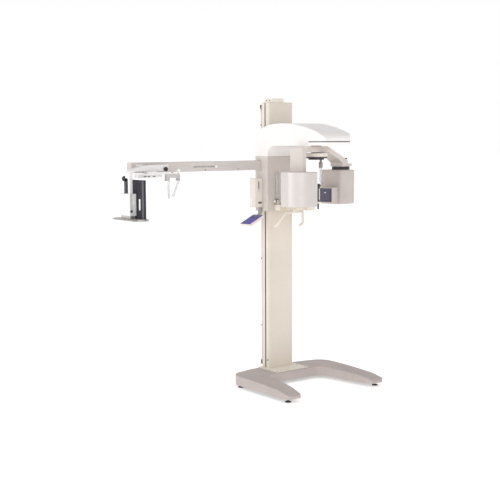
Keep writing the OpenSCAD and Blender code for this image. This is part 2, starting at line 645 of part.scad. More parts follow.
module collimator() color("#4d465e") on_rotor() difference() {
    union() {
        block([window_s + 1, window_y[0] + 5, window_z[0] + 5],
            [window_s + 5, window_y[1] - 5, window_z[1] - 5]);
        block([window_s + 5, -38, drum_z + 45], [head_s + 33, 18, drum_z + 100]);
    }
    block([window_s + 8, -14, drum_z + 60], [head_s + 34, -6, drum_z + 90]);
}
swivel_z = drum_z + head_h;
module swivel_disc() color("#2e2430") on_rotor() translate([swivel_s, 0, swivel_z]) {
    cylinder(r = swivel_r, h = boss_z - swivel_z - 0.5);
    cylinder(r = swivel_pin_r, h = boss_z - swivel_z + swivel_pin_h);
}
module lock_knob() color("#1d2024") on_rotor() translate([lock_s, 0, boss_z]) rotate_extrude() polygon([
    [0, 1], [pin_r, 1], [pin_r, step_h + 0.5], [15, step_h + 0.5], [5, 38], [20, 62], [0, 62]]);

// --- cephalometric arm ---
arm_end = -carriage_x - arm_reach;
knob_x = -557;
knob_z = arm_z + 33;
slot_len = 180;
module ceph_arm() color("#cdc5bf") difference() {
    block([arm_end, arm_y, arm_z], [-plate_out, arm_y + arm_d, arm_z + arm_h]);
    block([arm_end + arm_wall, arm_y + arm_wall, arm_z + arm_wall],
        [-plate_out + 1, arm_y + arm_d - arm_wall, arm_z + arm_h - arm_wall]);
    block([knob_x - slot_len - 5, arm_y - 1, knob_z - 5], [knob_x + 5, arm_y + arm_wall + 1, knob_z + 5]);
}
module ceph_slide_knob() color("#f2f0ec") {
    bar_y(knob_x, arm_y - 9, arm_y - 0.3, knob_z, 10);
    bar_y(knob_x, arm_y - 1, arm_y + arm_wall + 2, knob_z, 4.5);
    bar_y(knob_x, arm_y + arm_wall + 0.5, arm_y + arm_wall + 6, knob_z, 9);
}
head_x = arm_end - 48;
neck_y = [arm_y - 60, arm_y];
neck_t = 23;
neck_low = arm_z + 11;
box_top = arm_z - 134;
neck_leg_d = 24;
module swan_neck() color("#e2deda") difference() {
    neck_bend();
    block([head_x - 1, neck_y[0] + neck_leg_d, box_top - 1],
        [head_x + neck_t + 1, neck_y[1] + 1, arm_z - 32]);
}
module neck_bend() translate([0, neck_y[1], 0]) rotate([90, 0, 0])
    linear_extrude(neck_y[1] - neck_y[0]) polygon([[head_x + 303, arm_z + 55], [head_x + 161, arm_z + 53],
    [head_x + 88, arm_z + 43], [head_x + 38, arm_z + 31],
    [head_x + 13, arm_z + 20], [head_x + 2, arm_z + 5], [head_x, arm_z - 13], [head_x, box_top],
    [head_x + neck_t, box_top],
    [head_x + neck_t, arm_z - 10], [head_x + 30, arm_z + 3], [head_x + 43, neck_low - 2],
    [head_x + 70, neck_low],
    [head_x + 303, neck_low]]);
ceph_box_h = 147;
ceph_box_lo = [head_x - 2, neck_y[0], box_top - ceph_box_h];
ceph_box_hi = [head_x + 48, neck_y[0] + 138, box_top];
lever_x = head_x + 14;
lever_y = neck_y[0] + 90;
lever_z = box_top - 12;
lever_pin = 13;
module ceph_box() color("#f6f6f5") difference() {
    union() {
        block(ceph_box_lo, ceph_box_hi);
        block([head_x + 20, neck_y[0] - 6, box_top - 78], [head_x + 44, neck_y[0], box_top - 2]);
    }
    block(ceph_box_lo + [box_wall, box_wall, box_wall],
        [ceph_box_hi[0] + 1, ceph_box_hi[1] - box_wall, lever_z - 12]);
    block([lever_x - 8, lever_y - 9, lever_z - 8], [lever_x + 8, lever_y + 22, box_top + 1]);
    bar_x(lever_x - lever_pin - 0.5, lever_x + lever_pin + 0.5, lever_y, lever_z, pin_r + run_fit);
}
module box_lever() color("#2a2a33") {
    bar_z(lever_x, lever_y, lever_z, box_top + 84, 4);
    bar_x(lever_x - lever_pin, lever_x + lever_pin, lever_y, lever_z, pin_r);
    bar_x(lever_x - 7.5, lever_x + 7.5, lever_y, lever_z, 6);
    translate([lever_x, lever_y, box_top + 98]) sphere(r = 19);
}
holder_x = [ceph_box_hi[0] + 0.5, ceph_box_hi[0] + 18.5];
holder_y = neck_y[0] - 97;
holder_top = arm_z - 43;
holder_z = holder_top - cassette_h;
tongue_d = 6;
module cassette_holder() color("#26242e") difference() {
    union() {
        block([holder_x[0], holder_y, holder_z], [holder_x[1], holder_y + cassette_w, holder_top]);
        block([holder_x[0] + 4, holder_y, holder_z - tongue_d],
            [holder_x[0] + 12, holder_y + cassette_w, holder_z]);
    }
    block([holder_x[0] + 12, holder_y + 12, holder_z + 12],
        [holder_x[1] + 1, holder_y + cassette_w - 12, holder_top - 12]);
}
tray_y = [holder_y - 16, holder_y + cassette_w + 60];
tray_z = holder_z - 0.5;
module cassette_tray() color("#b9b4b2") {
    difference() {
        translate([0, tray_y[1], 0]) rotate([90, 0, 0]) linear_extrude(tray_y[1] - tray_y[0]) polygon([
            [head_x - 22, tray_z - 14], [head_x - 22, tray_z - 11], [head_x - 4, tray_z],
            [holder_x[1] + 8, tray_z], [holder_x[1] + 12, tray_z - 5], [holder_x[1] + 12, tray_z - 14]]);
        block([holder_x[0] + 3.5, tray_y[0] - 1, tray_z - tongue_d - 0.5],
            [holder_x[0] + 12.5, tray_y[1] + 1, tray_z + 1]);
    }
    block([head_x + 6, neck_y[0] + 8, tray_z], [ceph_box_hi[0] - 4, ceph_box_hi[1] - 8, ceph_box_lo[2]]);
    block([holder_x[0] - 4, tray_y[0] - 18, tray_z - 12], [holder_x[1] + 2, tray_y[0], tray_z - 5]);
}
rail_y = [neck_y[0] - 34, neck_y[0] + 6];
rail_z = [arm_z - 32, arm_z - 2];
hub_x = head_x + 323;
hub_y = neck_y[0] - 14;
hub_half = 53;
hub_post = 24;
hub_lug = 18;
module ear_rail() color("#e6e3e0") difference() {
    union() {
        block([head_x + 43, rail_y[0], rail_z[0]], [head_x + 234, rail_y[1], rail_z[1]]);
        block([head_x + 234, rail_y[0], rail_z[1] - 8], [hub_x + 22, rail_y[1], rail_z[1]]);
        block([head_x + 128, rail_y[0], rail_z[1]], [head_x + 188, neck_y[1] - 10, neck_low]);
    }
    bar_z(hub_x, hub_y, rail_z[1] - 9, rail_z[1] + 1, 8 + run_fit);
}
rod_left_x = hub_x - 41;
rod_right_x = hub_x + 44;
rod_z = rail_z[0] - 14;
rod_y = [hub_y - 21, hub_y - 14.5];
rod_lean = 24;
module ear_hub() color("#c9c5c2") difference() {
    union() {
        block([hub_x - hub_half, hub_y - 14, rail_z[0] - 24], [hub_x + hub_half, hub_y + 14, rail_z[1] - 9]);
        bar_z(hub_x, hub_y, rail_z[1] - 10, rail_z[1] + 6, 8);
    }
    for (x = [rod_left_x, rod_right_x]) bar_y(x, hub_y - 15, hub_y + 15, rod_z, 3 + run_fit);
    block([hub_x - hub_half + hub_post, hub_y - 15, rail_z[0] - 25],
        [hub_x + hub_half - hub_lug, hub_y + 15, rail_z[0] - 4]);
    block([hub_x + hub_half - 9, hub_y - 6.5, rail_z[0] - 25],
        [hub_x + hub_half + 1, hub_y + 6.5, rail_z[1] - 8]);
}
// An ear rod's bar hangs from its pivot pin and ends in an ear plug, on the side given
module ear_rod(side, lean) translate([0, 0, rod_z]) rotate([0, lean, 0]) {
    block([-6.5, rod_y[0], -ear_bar], [6.5, rod_y[1], 7]);
    bar_y(0, rod_y[0], hub_y + 13, 0, 3);
    mirror([side < 0 ? 1 : 0, 0, 0]) bar_x(6, 11, (rod_y[0] + rod_y[1]) / 2, -ear_bar + 8, 3);
}
module ear_rod_left() color("#e3e9ee") translate([rod_left_x, 0, 0]) ear_rod(1, 0);
module ear_rod_right() color("#e3e9ee") translate([rod_right_x, 0, 0]) ear_rod(-1, rod_lean);
module nasion_support() color("#f0f0ee") {
    block([hub_x + hub_half - 8, hub_y - 6, rail_z[0] - 8], [hub_x + hub_half, hub_y + 6, rail_z[1] + 14]);
    bar_y(hub_x + hub_half - 4, hub_y - 9, hub_y + 9, rail_z[1] + 16, 10);
    translate([hub_x + hub_half + 5, hub_y, rail_z[0] + 5]) sphere(r = 8);
}

base_frame();
base_cover_left();
base_cover_right();
base_cover_cross();
column_foot_plate();
levelling_feet();
mast_frame();
column_front_cover();
column_rear_cover();
column_cap();
lift_belt();
lower_pulley();
upper_pulley();
counterweight();
lift_motor();
cable_fittings();
mast_cable();
lift_frame();
guide_shoes();
carriage_housing();
carriage_back_panel();
overhead_shell();
overhead_pan();
overhead_trim();
spindle_disc();
slew_motor();
head_bar_bracket();
head_bar();
chin_support();
bite_post();
hand_grip_bar();
temple_bar_left();
temple_bar_right();
control_box();
box_rocker();
keypad_bracket();
keypad_housing();
keypad_membrane();
rotor_arm();
drum_shell();
drum_plate();
image_receptor();
tube_head_front();
tube_head_rear();
collimator();
xray_tube();
swivel_disc();
lock_knob();
ceph_arm();
ceph_slide_knob();
swan_neck();
ceph_box();
box_lever();
cassette_holder();
cassette_tray();
ear_rail();
ear_hub();
ear_rod_left();
ear_rod_right();
nasion_support();
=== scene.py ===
"""Looks of a panoramic dental X-ray machine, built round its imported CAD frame."""

from __future__ import annotations

import json
import logging
import math
from dataclasses import dataclass
from enum import Enum
from typing import Callable, Iterable, Sequence

import bmesh
import bpy
from mathutils import Matrix, Vector

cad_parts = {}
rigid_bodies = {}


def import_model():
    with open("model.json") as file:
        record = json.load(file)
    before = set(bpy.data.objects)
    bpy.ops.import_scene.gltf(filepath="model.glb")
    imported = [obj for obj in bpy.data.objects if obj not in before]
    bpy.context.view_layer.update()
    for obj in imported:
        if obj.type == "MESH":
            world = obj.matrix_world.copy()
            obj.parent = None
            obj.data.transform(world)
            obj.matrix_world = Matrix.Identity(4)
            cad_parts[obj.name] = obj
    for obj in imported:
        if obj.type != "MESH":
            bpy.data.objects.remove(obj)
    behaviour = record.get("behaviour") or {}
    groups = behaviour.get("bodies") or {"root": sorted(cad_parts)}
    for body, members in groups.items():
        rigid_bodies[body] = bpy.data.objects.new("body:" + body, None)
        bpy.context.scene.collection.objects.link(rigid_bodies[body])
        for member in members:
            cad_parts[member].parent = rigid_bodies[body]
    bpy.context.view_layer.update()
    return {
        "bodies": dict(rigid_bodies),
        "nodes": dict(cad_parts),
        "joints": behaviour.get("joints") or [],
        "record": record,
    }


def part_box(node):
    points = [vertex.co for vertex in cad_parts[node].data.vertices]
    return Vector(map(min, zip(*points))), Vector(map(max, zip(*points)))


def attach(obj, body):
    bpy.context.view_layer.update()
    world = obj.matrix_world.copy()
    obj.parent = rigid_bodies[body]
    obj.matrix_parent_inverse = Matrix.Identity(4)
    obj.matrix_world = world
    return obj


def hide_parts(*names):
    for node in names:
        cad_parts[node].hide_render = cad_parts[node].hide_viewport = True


LOG = logging.getLogger("machine")
MM = 0.001
Point = tuple[float, float, float]
Flat = tuple[float, float]

# Places shared by several classes, in millimetres, as the CAD has them.
COLUMN_FRONT = 316.0
COLUMN_BACK = 406.0
AXIS_Y = -84.0
CARRIAGE_BACK = 421.0
ROTOR_REST_DEG = 12.0
ROTOR_TURN = Matrix.Translation((0, AXIS_Y * MM, 0)) @ Matrix.Rotation(
    math.radians(ROTOR_REST_DEG), 4, "Z"
)


# --------------------------------------------------------------------------- finishes


def linear(hex_code: str) -> tuple[float, float, float, float]:
    """Turn an sRGB hex colour into Blender's linear colour.

    Args:
        hex_code: a colour such as "#ddd2c4".

    Returns:
        Linear red, green, blue and an alpha of one.
    """
    parts = [int(hex_code[i : i + 2], 16) / 255 for i in (1, 3, 5)]
    low = [c / 12.92 if c <= 0.04045 else ((c + 0.055) / 1.055) ** 2.4 for c in parts]
    return (low[0], low[1], low[2], 1.0)


def add_node(tree: bpy.types.NodeTree, kind: str, links: dict | None = None, **settings) -> bpy.types.Node:
    """Add one node with its settings and its inputs.

    Args:
        tree: the node tree that gets the node.
        kind: Blender's type name of the node.
        links: input name or index to a value, or to the output socket that feeds it.
        **settings: properties set on the node itself.

    Returns:
        The new node.
    """
    node = tree.nodes.new(kind)
    for key, value in settings.items():
        setattr(node, key, value)
    for key, value in (links or {}).items():
        if isinstance(value, bpy.types.NodeSocket):
            tree.links.new(value, node.inputs[key])
        else:
            node.inputs[key].default_value = value
    return node


@dataclass(frozen=True)
class Finish:
    """One real surface: a base colour, its variation, and its relief.

    Attributes:
        name: what the surface is called.
        colour: sRGB hex of the clean surface.
        shade: sRGB hex that the slow variation drifts towards.
        roughness: mean roughness.
        metallic: one for bare metal.
        patch_mm: size of the slow colour patches.
        grain_mm: size of the fine relief.
        relief: strength of the fine relief.
        speckle: how much the fine grain shows in the colour.
        wear: how much lighter the exposed edges are.
        coat: clear gloss over the surface.
    """

    name: str
    colour: str
    shade: str
    roughness: float = 0.5
    metallic: float = 0.0
    patch_mm: float = 120.0
    grain_mm: float = 3.0
    relief: float = 0.08
    speckle: float = 0.06
    wear: float = 0.05
    coat: float = 0.0
    stretch: Point = (1.0, 1.0, 1.0)

    def build(self) -> bpy.types.Material:
        """Make the material once and hand back the same one after that.

        Returns:
            The Blender material.
        """
        known = bpy.data.materials.get(self.name)
        if known:
            return known
        mat = bpy.data.materials.new(self.name)
        mat.use_nodes = True
        tree = mat.node_tree
        tree.nodes.clear()
        out = add_node(tree, "ShaderNodeOutputMaterial")
        shader = add_node(tree, "ShaderNodeBsdfPrincipled")
        tree.links.new(shader.outputs[0], out.inputs["Surface"])
        self.dress(tree, shader)
        return mat

    def dress(self, tree: bpy.types.NodeTree, shader: bpy.types.Node) -> None:
        """Wire the colour, roughness and relief of the surface.

        Args:
            tree: the material's node tree.
            shader: its Principled node.
        """
        coords = add_node(tree, "ShaderNodeTexCoord").outputs["Object"]
        if self.stretch != (1.0, 1.0, 1.0):
            coords = add_node(tree, "ShaderNodeMapping", {"Vector": coords, "Scale": self.stretch}).outputs[0]
        patches = add_node(
            tree, "ShaderNodeTexNoise", {"Vector": coords, "Scale": 1000 / self.patch_mm, "Detail": 3.0}
        )
        grain = add_node(
            tree, "ShaderNodeTexNoise", {"Vector": coords, "Scale": 1000 / self.grain_mm, "Detail": 2.0}
        )
        drift = add_node(
            tree,
            "ShaderNodeMix",
            {6: linear(self.colour), 7: linear(self.shade)},
            data_type="RGBA",
        )
        soft = add_node(
            tree,
            "ShaderNodeMapRange",
            {"Value": patches.outputs[0], "From Min": 0.35, "From Max": 0.7, "To Min": 0.0, "To Max": 0.55},
        )
        tree.links.new(soft.outputs[0], drift.inputs[0])
        fleck = add_node(
            tree,
            "ShaderNodeMapRange",
            {
                "Value": grain.outputs[0],
                "From Min": 0.3,
                "From Max": 0.7,
                "To Min": 1.0 - self.speckle,
                "To Max": 1.0 + self.speckle,
            },
        )
        colour = add_node(
            tree,
            "ShaderNodeVectorMath",
            {0: drift.outputs[2], "Scale": fleck.outputs[0]},
            operation="SCALE",
        ).outputs[0]
        if self.wear:
            edge = add_node(tree, "ShaderNodeNewGeometry").outputs["Pointiness"]
            rim = add_node(
                tree,
                "ShaderNodeMapRange",
                {"Value": edge, "From Min": 0.52, "From Max": 0.62, "To Min": 0.0, "To Max": self.wear},
            )
            lift = add_node(tree, "ShaderNodeMix", {6: colour, 7: (1.0, 1.0, 1.0, 1.0)}, data_type="RGBA")
            tree.links.new(rim.outputs[0], lift.inputs[0])
            colour = lift.outputs[2]
        tree.links.new(colour, shader.inputs["Base Color"])
        sheen = add_node(
            tree,
            "ShaderNodeMapRange",
            {
                "Value": patches.outputs[0],
                "From Min": 0.3,
                "From Max": 0.7,
                "To Min": max(0.05, self.roughness - 0.06),
                "To Max": min(1.0, self.roughness + 0.06),
            },
        )
        tree.links.new(sheen.outputs[0], shader.inputs["Roughness"])
        shader.inputs["Metallic"].default_value = self.metallic
        shader.inputs["Coat Weight"].default_value = self.coat
        bump = add_node(
            tree,
            "ShaderNodeBump",
            {"Height": grain.outputs[0], "Strength": self.relief, "Distance": self.grain_mm * MM * 0.3},
        )
        tree.links.new(bump.outputs[0], shader.inputs["Normal"])


@dataclass(frozen=True)
class Clear(Finish):
    """A clear or tinted plastic that light passes through."""

    ior: float = 1.49
    clearness: float = 0.6

    def dress(self, tree: bpy.types.NodeTree, shader: bpy.types.Node) -> None:
        """Add transmission to the plain surface.

        Args:
            tree: the material's node tree.
            shader: its Principled node.
        """
        super().dress(tree, shader)
        shader.inputs["IOR"].default_value = self.ior
        shader.inputs["Transmission Weight"].default_value = self.clearness


# Textured powder coat over steel or GRP: matt, with a fine orange peel drawn coarser so that it shows.
BASE_COAT = Finish(
    "warm_grey_powder_coat", "#bdb1ad", "#b0a4a2", 0.55, patch_mm=220, grain_mm=5, relief=0.12,
    speckle=0.03
)
# Smooth cream powder coat on the steel foot plate.
PLATE_COAT = Finish("cream_powder_coat", "#e9e2d6", "#e0d8cb", 0.5, grain_mm=4, speckle=0.03)
# Beige hammer-finish enamel on the sheet steel column covers.
COLUMN_COAT = Finish(
    "beige_hammer_coat", "#e2d8cb", "#d8cdc0", 0.5, patch_mm=260, grain_mm=7, relief=0.15,
    speckle=0.035
)
# Dark anodised aluminium extrusion: satin, with fine drawn lines along its length.
MAST_ANODISED = Finish(
    "dark_anodised_aluminium", "#7d7290", "#665c78", 0.38, metallic=0.7, grain_mm=2,
    stretch=(1, 1, 0.05)
)
# Warm grey powder coat on the carriage housing.
CARRIAGE_COAT = Finish(
    "carriage_powder_coat", "#d3cac4", "#c8beb7", 0.5, patch_mm=180, grain_mm=5, relief=0.12,
    speckle=0.03
)
# Painted ABS moulding: clean white with a faint warm drift and a soft gloss.
SHELL_WHITE = Finish(
    "white_painted_abs", "#f4f1ef", "#ebe5e2", 0.42, patch_mm=200, grain_mm=4, relief=0.05,
    speckle=0.015, coat=0.15
)
# Plain moulded ABS, uncoated, under the overhead arm.
PAN_GREY = Finish("grey_moulded_abs", "#cfc5bf", "#c2b8b1", 0.55, grain_mm=3, speckle=0.03)
# Extruded rubber strip set round the overhead arm.
TRIM_DARK = Finish("dark_rubber_strip", "#3f393b", "#353032", 0.6, grain_mm=2, speckle=0.05)
# Sprayed silver lacquer on the rotor covers: a soft metallic sheen.
SILVER_LACQUER = Finish(
    "silver_beige_lacquer", "#d6cfcc", "#cbc3bf", 0.36, metallic=0.25, patch_mm=150, grain_mm=2.5,
    relief=0.05, speckle=0.03, coat=0.2
)
# Spark-textured ABS housing, matt and slightly darker than the lacquered covers.
HEAD_TEXTURE = Finish(
    "textured_abs_housing", "#c8beb9", "#bcb1ab", 0.5, patch_mm=140, grain_mm=4, relief=0.12,
    speckle=0.03
)
# Painted cast aluminium: smooth, with a faint casting grain.
ROTOR_COAT = Finish(
    "cast_aluminium_coat", "#d5ccc6", "#cabfb8", 0.46, patch_mm=160, grain_mm=4, relief=0.1,
    speckle=0.025
)
# Black moulded ABS with a fine texture, rubbed a little at its edges.
DARK_ABS = Finish(
    "black_moulded_abs", "#232227", "#1b1a1e", 0.42, grain_mm=2.5, relief=0.12, speckle=0.05,
    wear=0.08
)
# Black phenolic resin, as turned and polished hand knobs are.
DARK_GLOSS = Finish(
    "black_phenolic_knob", "#1b1c20", "#131418", 0.38, grain_mm=6, relief=0.02, speckle=0.02,
    coat=0.12, wear=0.0
)
# Dark moulded nylon ring, satin from handling.
SWIVEL_DARK = Finish("dark_swivel_moulding", "#342b36", "#29212b", 0.4, grain_mm=2, speckle=0.05)
# Cream ABS moulding that can be wiped clean.
CHIN_CREAM = Finish("cream_moulded_abs", "#ece3d2", "#e2d7c4", 0.45, grain_mm=3, relief=0.06, speckle=0.02)
# Steel tube dipped in cream PVC, with a soft gloss.
GRIP_CREAM = Finish(
    "cream_dip_coated_tube", "#e2dace", "#d6cdbf", 0.4, grain_mm=2.5, speckle=0.02, coat=0.2
)
# Pale ABS control box, lightly textured.
CONTROL_CREAM = Finish(
    "pale_moulded_abs", "#e6ddd3", "#dcd2c8", 0.48, grain_mm=3, relief=0.08, speckle=0.02
)
# Polyester film printed purple on its back.
PANEL_PURPLE = Finish(
    "printed_purple_film", "#4f42a0", "#3f3488", 0.45, patch_mm=40, grain_mm=2, relief=0.02,
    speckle=0.04, wear=0.0
)
# The same film where it is embossed over a key.
KEY_PURPLE = Finish(
    "raised_film_key", "#7468bb", "#655aac", 0.45, grain_mm=2, relief=0.03, speckle=0.04, wear=0.0
)
# Smoked acrylic over the display.
DISPLAY_DARK = Finish(
    "smoked_display_window", "#221d3a", "#191530", 0.12, grain_mm=6, relief=0.0, speckle=0.02,
    coat=0.6
)
# Tinted polycarbonate over the beam opening.
WINDOW_PURPLE = Finish(
    "tinted_aperture_window", "#4a4260", "#3a334e", 0.2, patch_mm=50, grain_mm=6, relief=0.01,
    speckle=0.02, coat=0.5
)
# Grey powder coat on the side arm extrusion.
ARM_COAT = Finish(
    "side_arm_powder_coat", "#cdc5c0", "#bfb6b1", 0.48, patch_mm=200, grain_mm=4, relief=0.1,
    speckle=0.025
)
# Pale paint on cast aluminium.
NECK_COAT = Finish("pale_cast_coat", "#e8e5e4", "#dedad8", 0.45, grain_mm=4, relief=0.08, speckle=0.02)
# White ABS moulding with a soft gloss.
BOX_WHITE = Finish("white_moulded_abs", "#ecebea", "#e4e2e0", 0.4, grain_mm=3, relief=0.04, speckle=0.01)
# Dark moulded plastic of the cassette holder, matt.
HOLDER_DARK = Finish(
    "purple_black_holder", "#26232f", "#1c1a24", 0.6, grain_mm=3, relief=0.06, speckle=0.05, wear=0.0
)
# Grey moulded rim of the same holder.
HOLDER_RIM = Finish("grey_holder_rim", "#4c4a56", "#4e4c55", 0.42, grain_mm=3, speckle=0.04)
# Blank paper-white label film.
LABEL_WHITE = Finish("blank_white_label", "#f2f1f0", "#e7e6e4", 0.5, grain_mm=2, speckle=0.01)
# Bare aluminium, brushed along its length.
BRUSHED = Finish(
    "brushed_aluminium", "#c4c0bd", "#b1adaa", 0.34, metallic=0.9, grain_mm=1.5, relief=0.1,
    stretch=(1, 0.06, 1)
)
# Bright zinc plate on screws and small fittings.
ZINC = Finish("zinc_plated_steel", "#a8a6a2", "#8e8c88", 0.36, metallic=0.9, grain_mm=2, speckle=0.08)
# Satin blackened steel.
STEEL_DARK = Finish("satin_dark_steel", "#55565a", "#46474b", 0.4, metallic=0.8, grain_mm=2, speckle=0.06)
# Grey ABS bracket.
GREY_ABS = Finish("grey_moulded_bracket", "#96918d", "#87827e", 0.48, grain_mm=2.5, speckle=0.03)
# Bronzed cast levelling feet.
BRONZED = Finish("bronzed_cast_foot", "#5d5148", "#4a4039", 0.45, metallic=0.6, grain_mm=3, speckle=0.05)
# Pale acetal hub.
HUB_PALE = Finish("pale_moulded_hub", "#c5c1be", "#b8b3b0", 0.45, grain_mm=3, speckle=0.02)
# Black moulded rubber: matt and finely pitted.
RUBBER = Finish("black_moulded_rubber", "#242325", "#1c1b1d", 0.75, grain_mm=2, relief=0.2, speckle=0.06)
# Grey PVC cable sheath.
SHEATH = Finish("grey_pvc_sheath", "#8f8e8f", "#818081", 0.45, grain_mm=2, speckle=0.03)
# Painted cast iron, coarse as cast.
CAST_IRON = Finish("painted_cast_iron", "#4c4d50", "#3f4043", 0.6, grain_mm=6, relief=0.3, speckle=0.08)
# Natural nylon.
NYLON = Finish("natural_nylon", "#e6e4dc", "#dad7cd", 0.5, grain_mm=3, speckle=0.02)
# White polished resin knob.
KNOB_WHITE = Finish(
    "white_gloss_knob", "#f3f1ed", "#e8e5e0", 0.25, grain_mm=5, relief=0.02, speckle=0.01, coat=0.4
)
# Cast acrylic: nearly colourless and a little hazed, with polished edges.
ACRYLIC = Clear(
    "clear_cast_acrylic", "#f1f0f1", "#e9e8ea", 0.16, grain_mm=5, relief=0.01, speckle=0.0, wear=0.0
)


# --------------------------------------------------------------------------- shaping


def mesh_from(bm: bmesh.types.BMesh, name: str) -> bpy.types.Mesh:
    """Turn a bmesh into a mesh with outward faces.

    Args:
        bm: the shape; it is freed.
        name: the mesh's name.

    Returns:
        The new mesh.
    """
    bmesh.ops.recalc_face_normals(bm, faces=bm.faces)
    mesh = bpy.data.meshes.new(name)
    bm.to_mesh(mesh)
    bm.free()
    return mesh


def evaluated(obj: bpy.types.Object) -> bpy.types.Mesh:
    """Bake an object's modifiers into a new mesh.

    Args:
        obj: an object in the scene.

    Returns:
        Its evaluated mesh.
    """
    bpy.context.view_layer.update()
    graph = bpy.context.evaluated_depsgraph_get()
    return bpy.data.meshes.new_from_object(obj.evaluated_get(graph))


def drop(obj: bpy.types.Object) -> None:
    """Remove a scratch object and its mesh.

    Args:
        obj: the object, which nothing may use afterwards.
    """
    mesh = obj.data
    bpy.data.objects.remove(obj)
    if mesh.users == 0:
        bpy.data.meshes.remove(mesh)


class Solid:
    """A closed mesh in metres while it is being shaped."""

    def __init__(self, mesh: bpy.types.Mesh) -> None:
        """Hold a mesh.

        Args:
            mesh: the mesh, in metres, which the solid takes over.
        """
        self.mesh = mesh

    @classmethod
    def prism(cls, outline: Sequence[Flat], low: float, high: float, axis: str = "Z") -> "Solid":
        """Extrude a flat outline.

        Args:
            outline: corners in millimetres; (x, y) for Z, (y, z) for X, (x, z) for Y.
            low: where the extrusion starts along the axis, in millimetres.
            high: where it ends.
            axis: X, Y or Z.

        Returns:
            The solid.
        """
        place = {
            "Z": lambda a, b, h: (a, b, h),
            "X": lambda a, b, h: (h, a, b),
            "Y": lambda a, b, h: (a, h, b),
        }[axis]
        bm = bmesh.new()
        rings = [[bm.verts.new(Vector(place(a, b, h)) * MM) for a, b in outline] for h in (low, high)]
        count = len(outline)
        bm.faces.new(rings[0])
        bm.faces.new(rings[1])
        for i in range(count):
            j = (i + 1) % count
            bm.faces.new((rings[0][i], rings[0][j], rings[1][j], rings[1][i]))
        return cls(mesh_from(bm, "prism"))

    @classmethod
    def box(cls, low: Point, high: Point) -> "Solid":
        """Make a box between two corners in millimetres.

        Args:
            low: the corner with the smallest values.
            high: the corner with the largest values.

        Returns:
            The box.
        """
        outline = [(low[0], low[1]), (high[0], low[1]), (high[0], high[1]), (low[0], high[1])]
        return cls.prism(outline, low[2], high[2])

    @classmethod
    def loft(cls, rings: Sequence[Sequence[Point]]) -> "Solid":
        """Join closed rings of equal length into one closed skin.

        Args:
            rings: rings of points in millimetres.

        Returns:
            The solid.
        """
        bm = bmesh.new()
        rows = [[bm.verts.new(Vector(p) * MM) for p in ring] for ring in rings]
        count = len(rings[0])
        for a, b in zip(rows, rows[1:]):
            for i in range(count):
                j = (i + 1) % count
                bm.faces.new((a[i], a[j], b[j], b[i]))
        bm.faces.new(rows[0])
        bm.faces.new(rows[-1])
        return cls(mesh_from(bm, "loft"))

    @classmethod
    def lathe(cls, profile: Sequence[Flat], centre: Point, axis: str = "Z", steps: int = 56) -> "Solid":
        """Turn a profile of (radius, height) round an axis.

        Args:
            profile: radius and height pairs in millimetres, from one end on the axis to the other.
            centre: the point that heights count from.
            axis: X, Y or Z.
            steps: facets round the axis.

        Returns:
            The solid.
        """
        bm = bmesh.new()
        rows = []
        for radius, height in profile:
            if radius < 1e-6:
                rows.append([bm.verts.new((0, 0, height * MM))])
                continue
            rows.append(
                [
                    bm.verts.new(
                        (
                            radius * MM * math.cos(2 * math.pi * k / steps),
                            radius * MM * math.sin(2 * math.pi * k / steps),
                            height * MM,
                        )
                    )
                    for k in range(steps)
                ]
            )
        for a, b in zip(rows, rows[1:]):
            for i in range(steps):
                j = (i + 1) % steps
                if len(a) == 1 and len(b) == 1:
                    continue
                if len(a) == 1:
                    bm.faces.new((a[0], b[j], b[i]))
                elif len(b) == 1:
                    bm.faces.new((a[i], a[j], b[0]))
                else:
                    bm.faces.new((a[i], a[j], b[j], b[i]))
        turn = {
            "Z": Matrix.Identity(4),
            "X": Matrix.Rotation(math.pi / 2, 4, "Y"),
            "Y": Matrix.Rotation(-math.pi / 2, 4, "X"),
        }[axis]
        bm.transform(Matrix.Translation(Vector(centre) * MM) @ turn)
        return cls(mesh_from(bm, "lathe"))

    @classmethod
    def ball(cls, centre: Point, radius: float) -> "Solid":
        """Make a smooth ball, in millimetres.

        Args:
            centre: its middle.
            radius: its radius.

        Returns:
            The ball.
        """
        steps = 20
        profile = [
            (radius * math.sin(math.pi * k / steps), -radius * math.cos(math.pi * k / steps))
            for k in range(steps + 1)
        ]
        return cls.lathe(profile, centre, steps=36)

    @classmethod
    def tube(cls, path: Sequence[Point], radius: float, steps: int = 20) -> "Solid":
        """Sweep a round bar along a smooth path, with domed ends.

        Args:
            path: points in millimetres.
            radius: the bar's radius in millimetres.
            steps: facets round the bar.

        Returns:
            The solid.
        """
        points = [Vector(p) for p in smooth_path(path)]
        headings = []
        for i in range(len(points)):
            a = points[max(0, i - 1)]
            b = points[min(len(points) - 1, i + 1)]
            headings.append((b - a).normalized())
        side = headings[0].orthogonal().normalized()
        rings: list[list[Point]] = []
        dome = [(math.sin(math.pi / 2 * k / 4), math.cos(math.pi / 2 * k / 4)) for k in range(1, 4)]
        stations: list[tuple[Vector, Vector, float]] = []
        for sin_a, cos_a in dome:
            stations.append((points[0] - headings[0] * radius * cos_a, headings[0], radius * sin_a))
        stations += [(p, h, radius) for p, h in zip(points, headings)]
        for sin_a, cos_a in reversed(dome):
            stations.append((points[-1] + headings[-1] * radius * cos_a, headings[-1], radius * sin_a))
        for place, heading, size in stations:
            side = (side - heading * side.dot(heading)).normalized()
            other = heading.cross(side)
            rings.append(
                [
                    tuple(
                        place
                        + side * size * math.cos(2 * math.pi * k / steps)
                        + other * size * math.sin(2 * math.pi * k / steps)
                    )
                    for k in range(steps)
                ]
            )
        return cls.loft(rings)

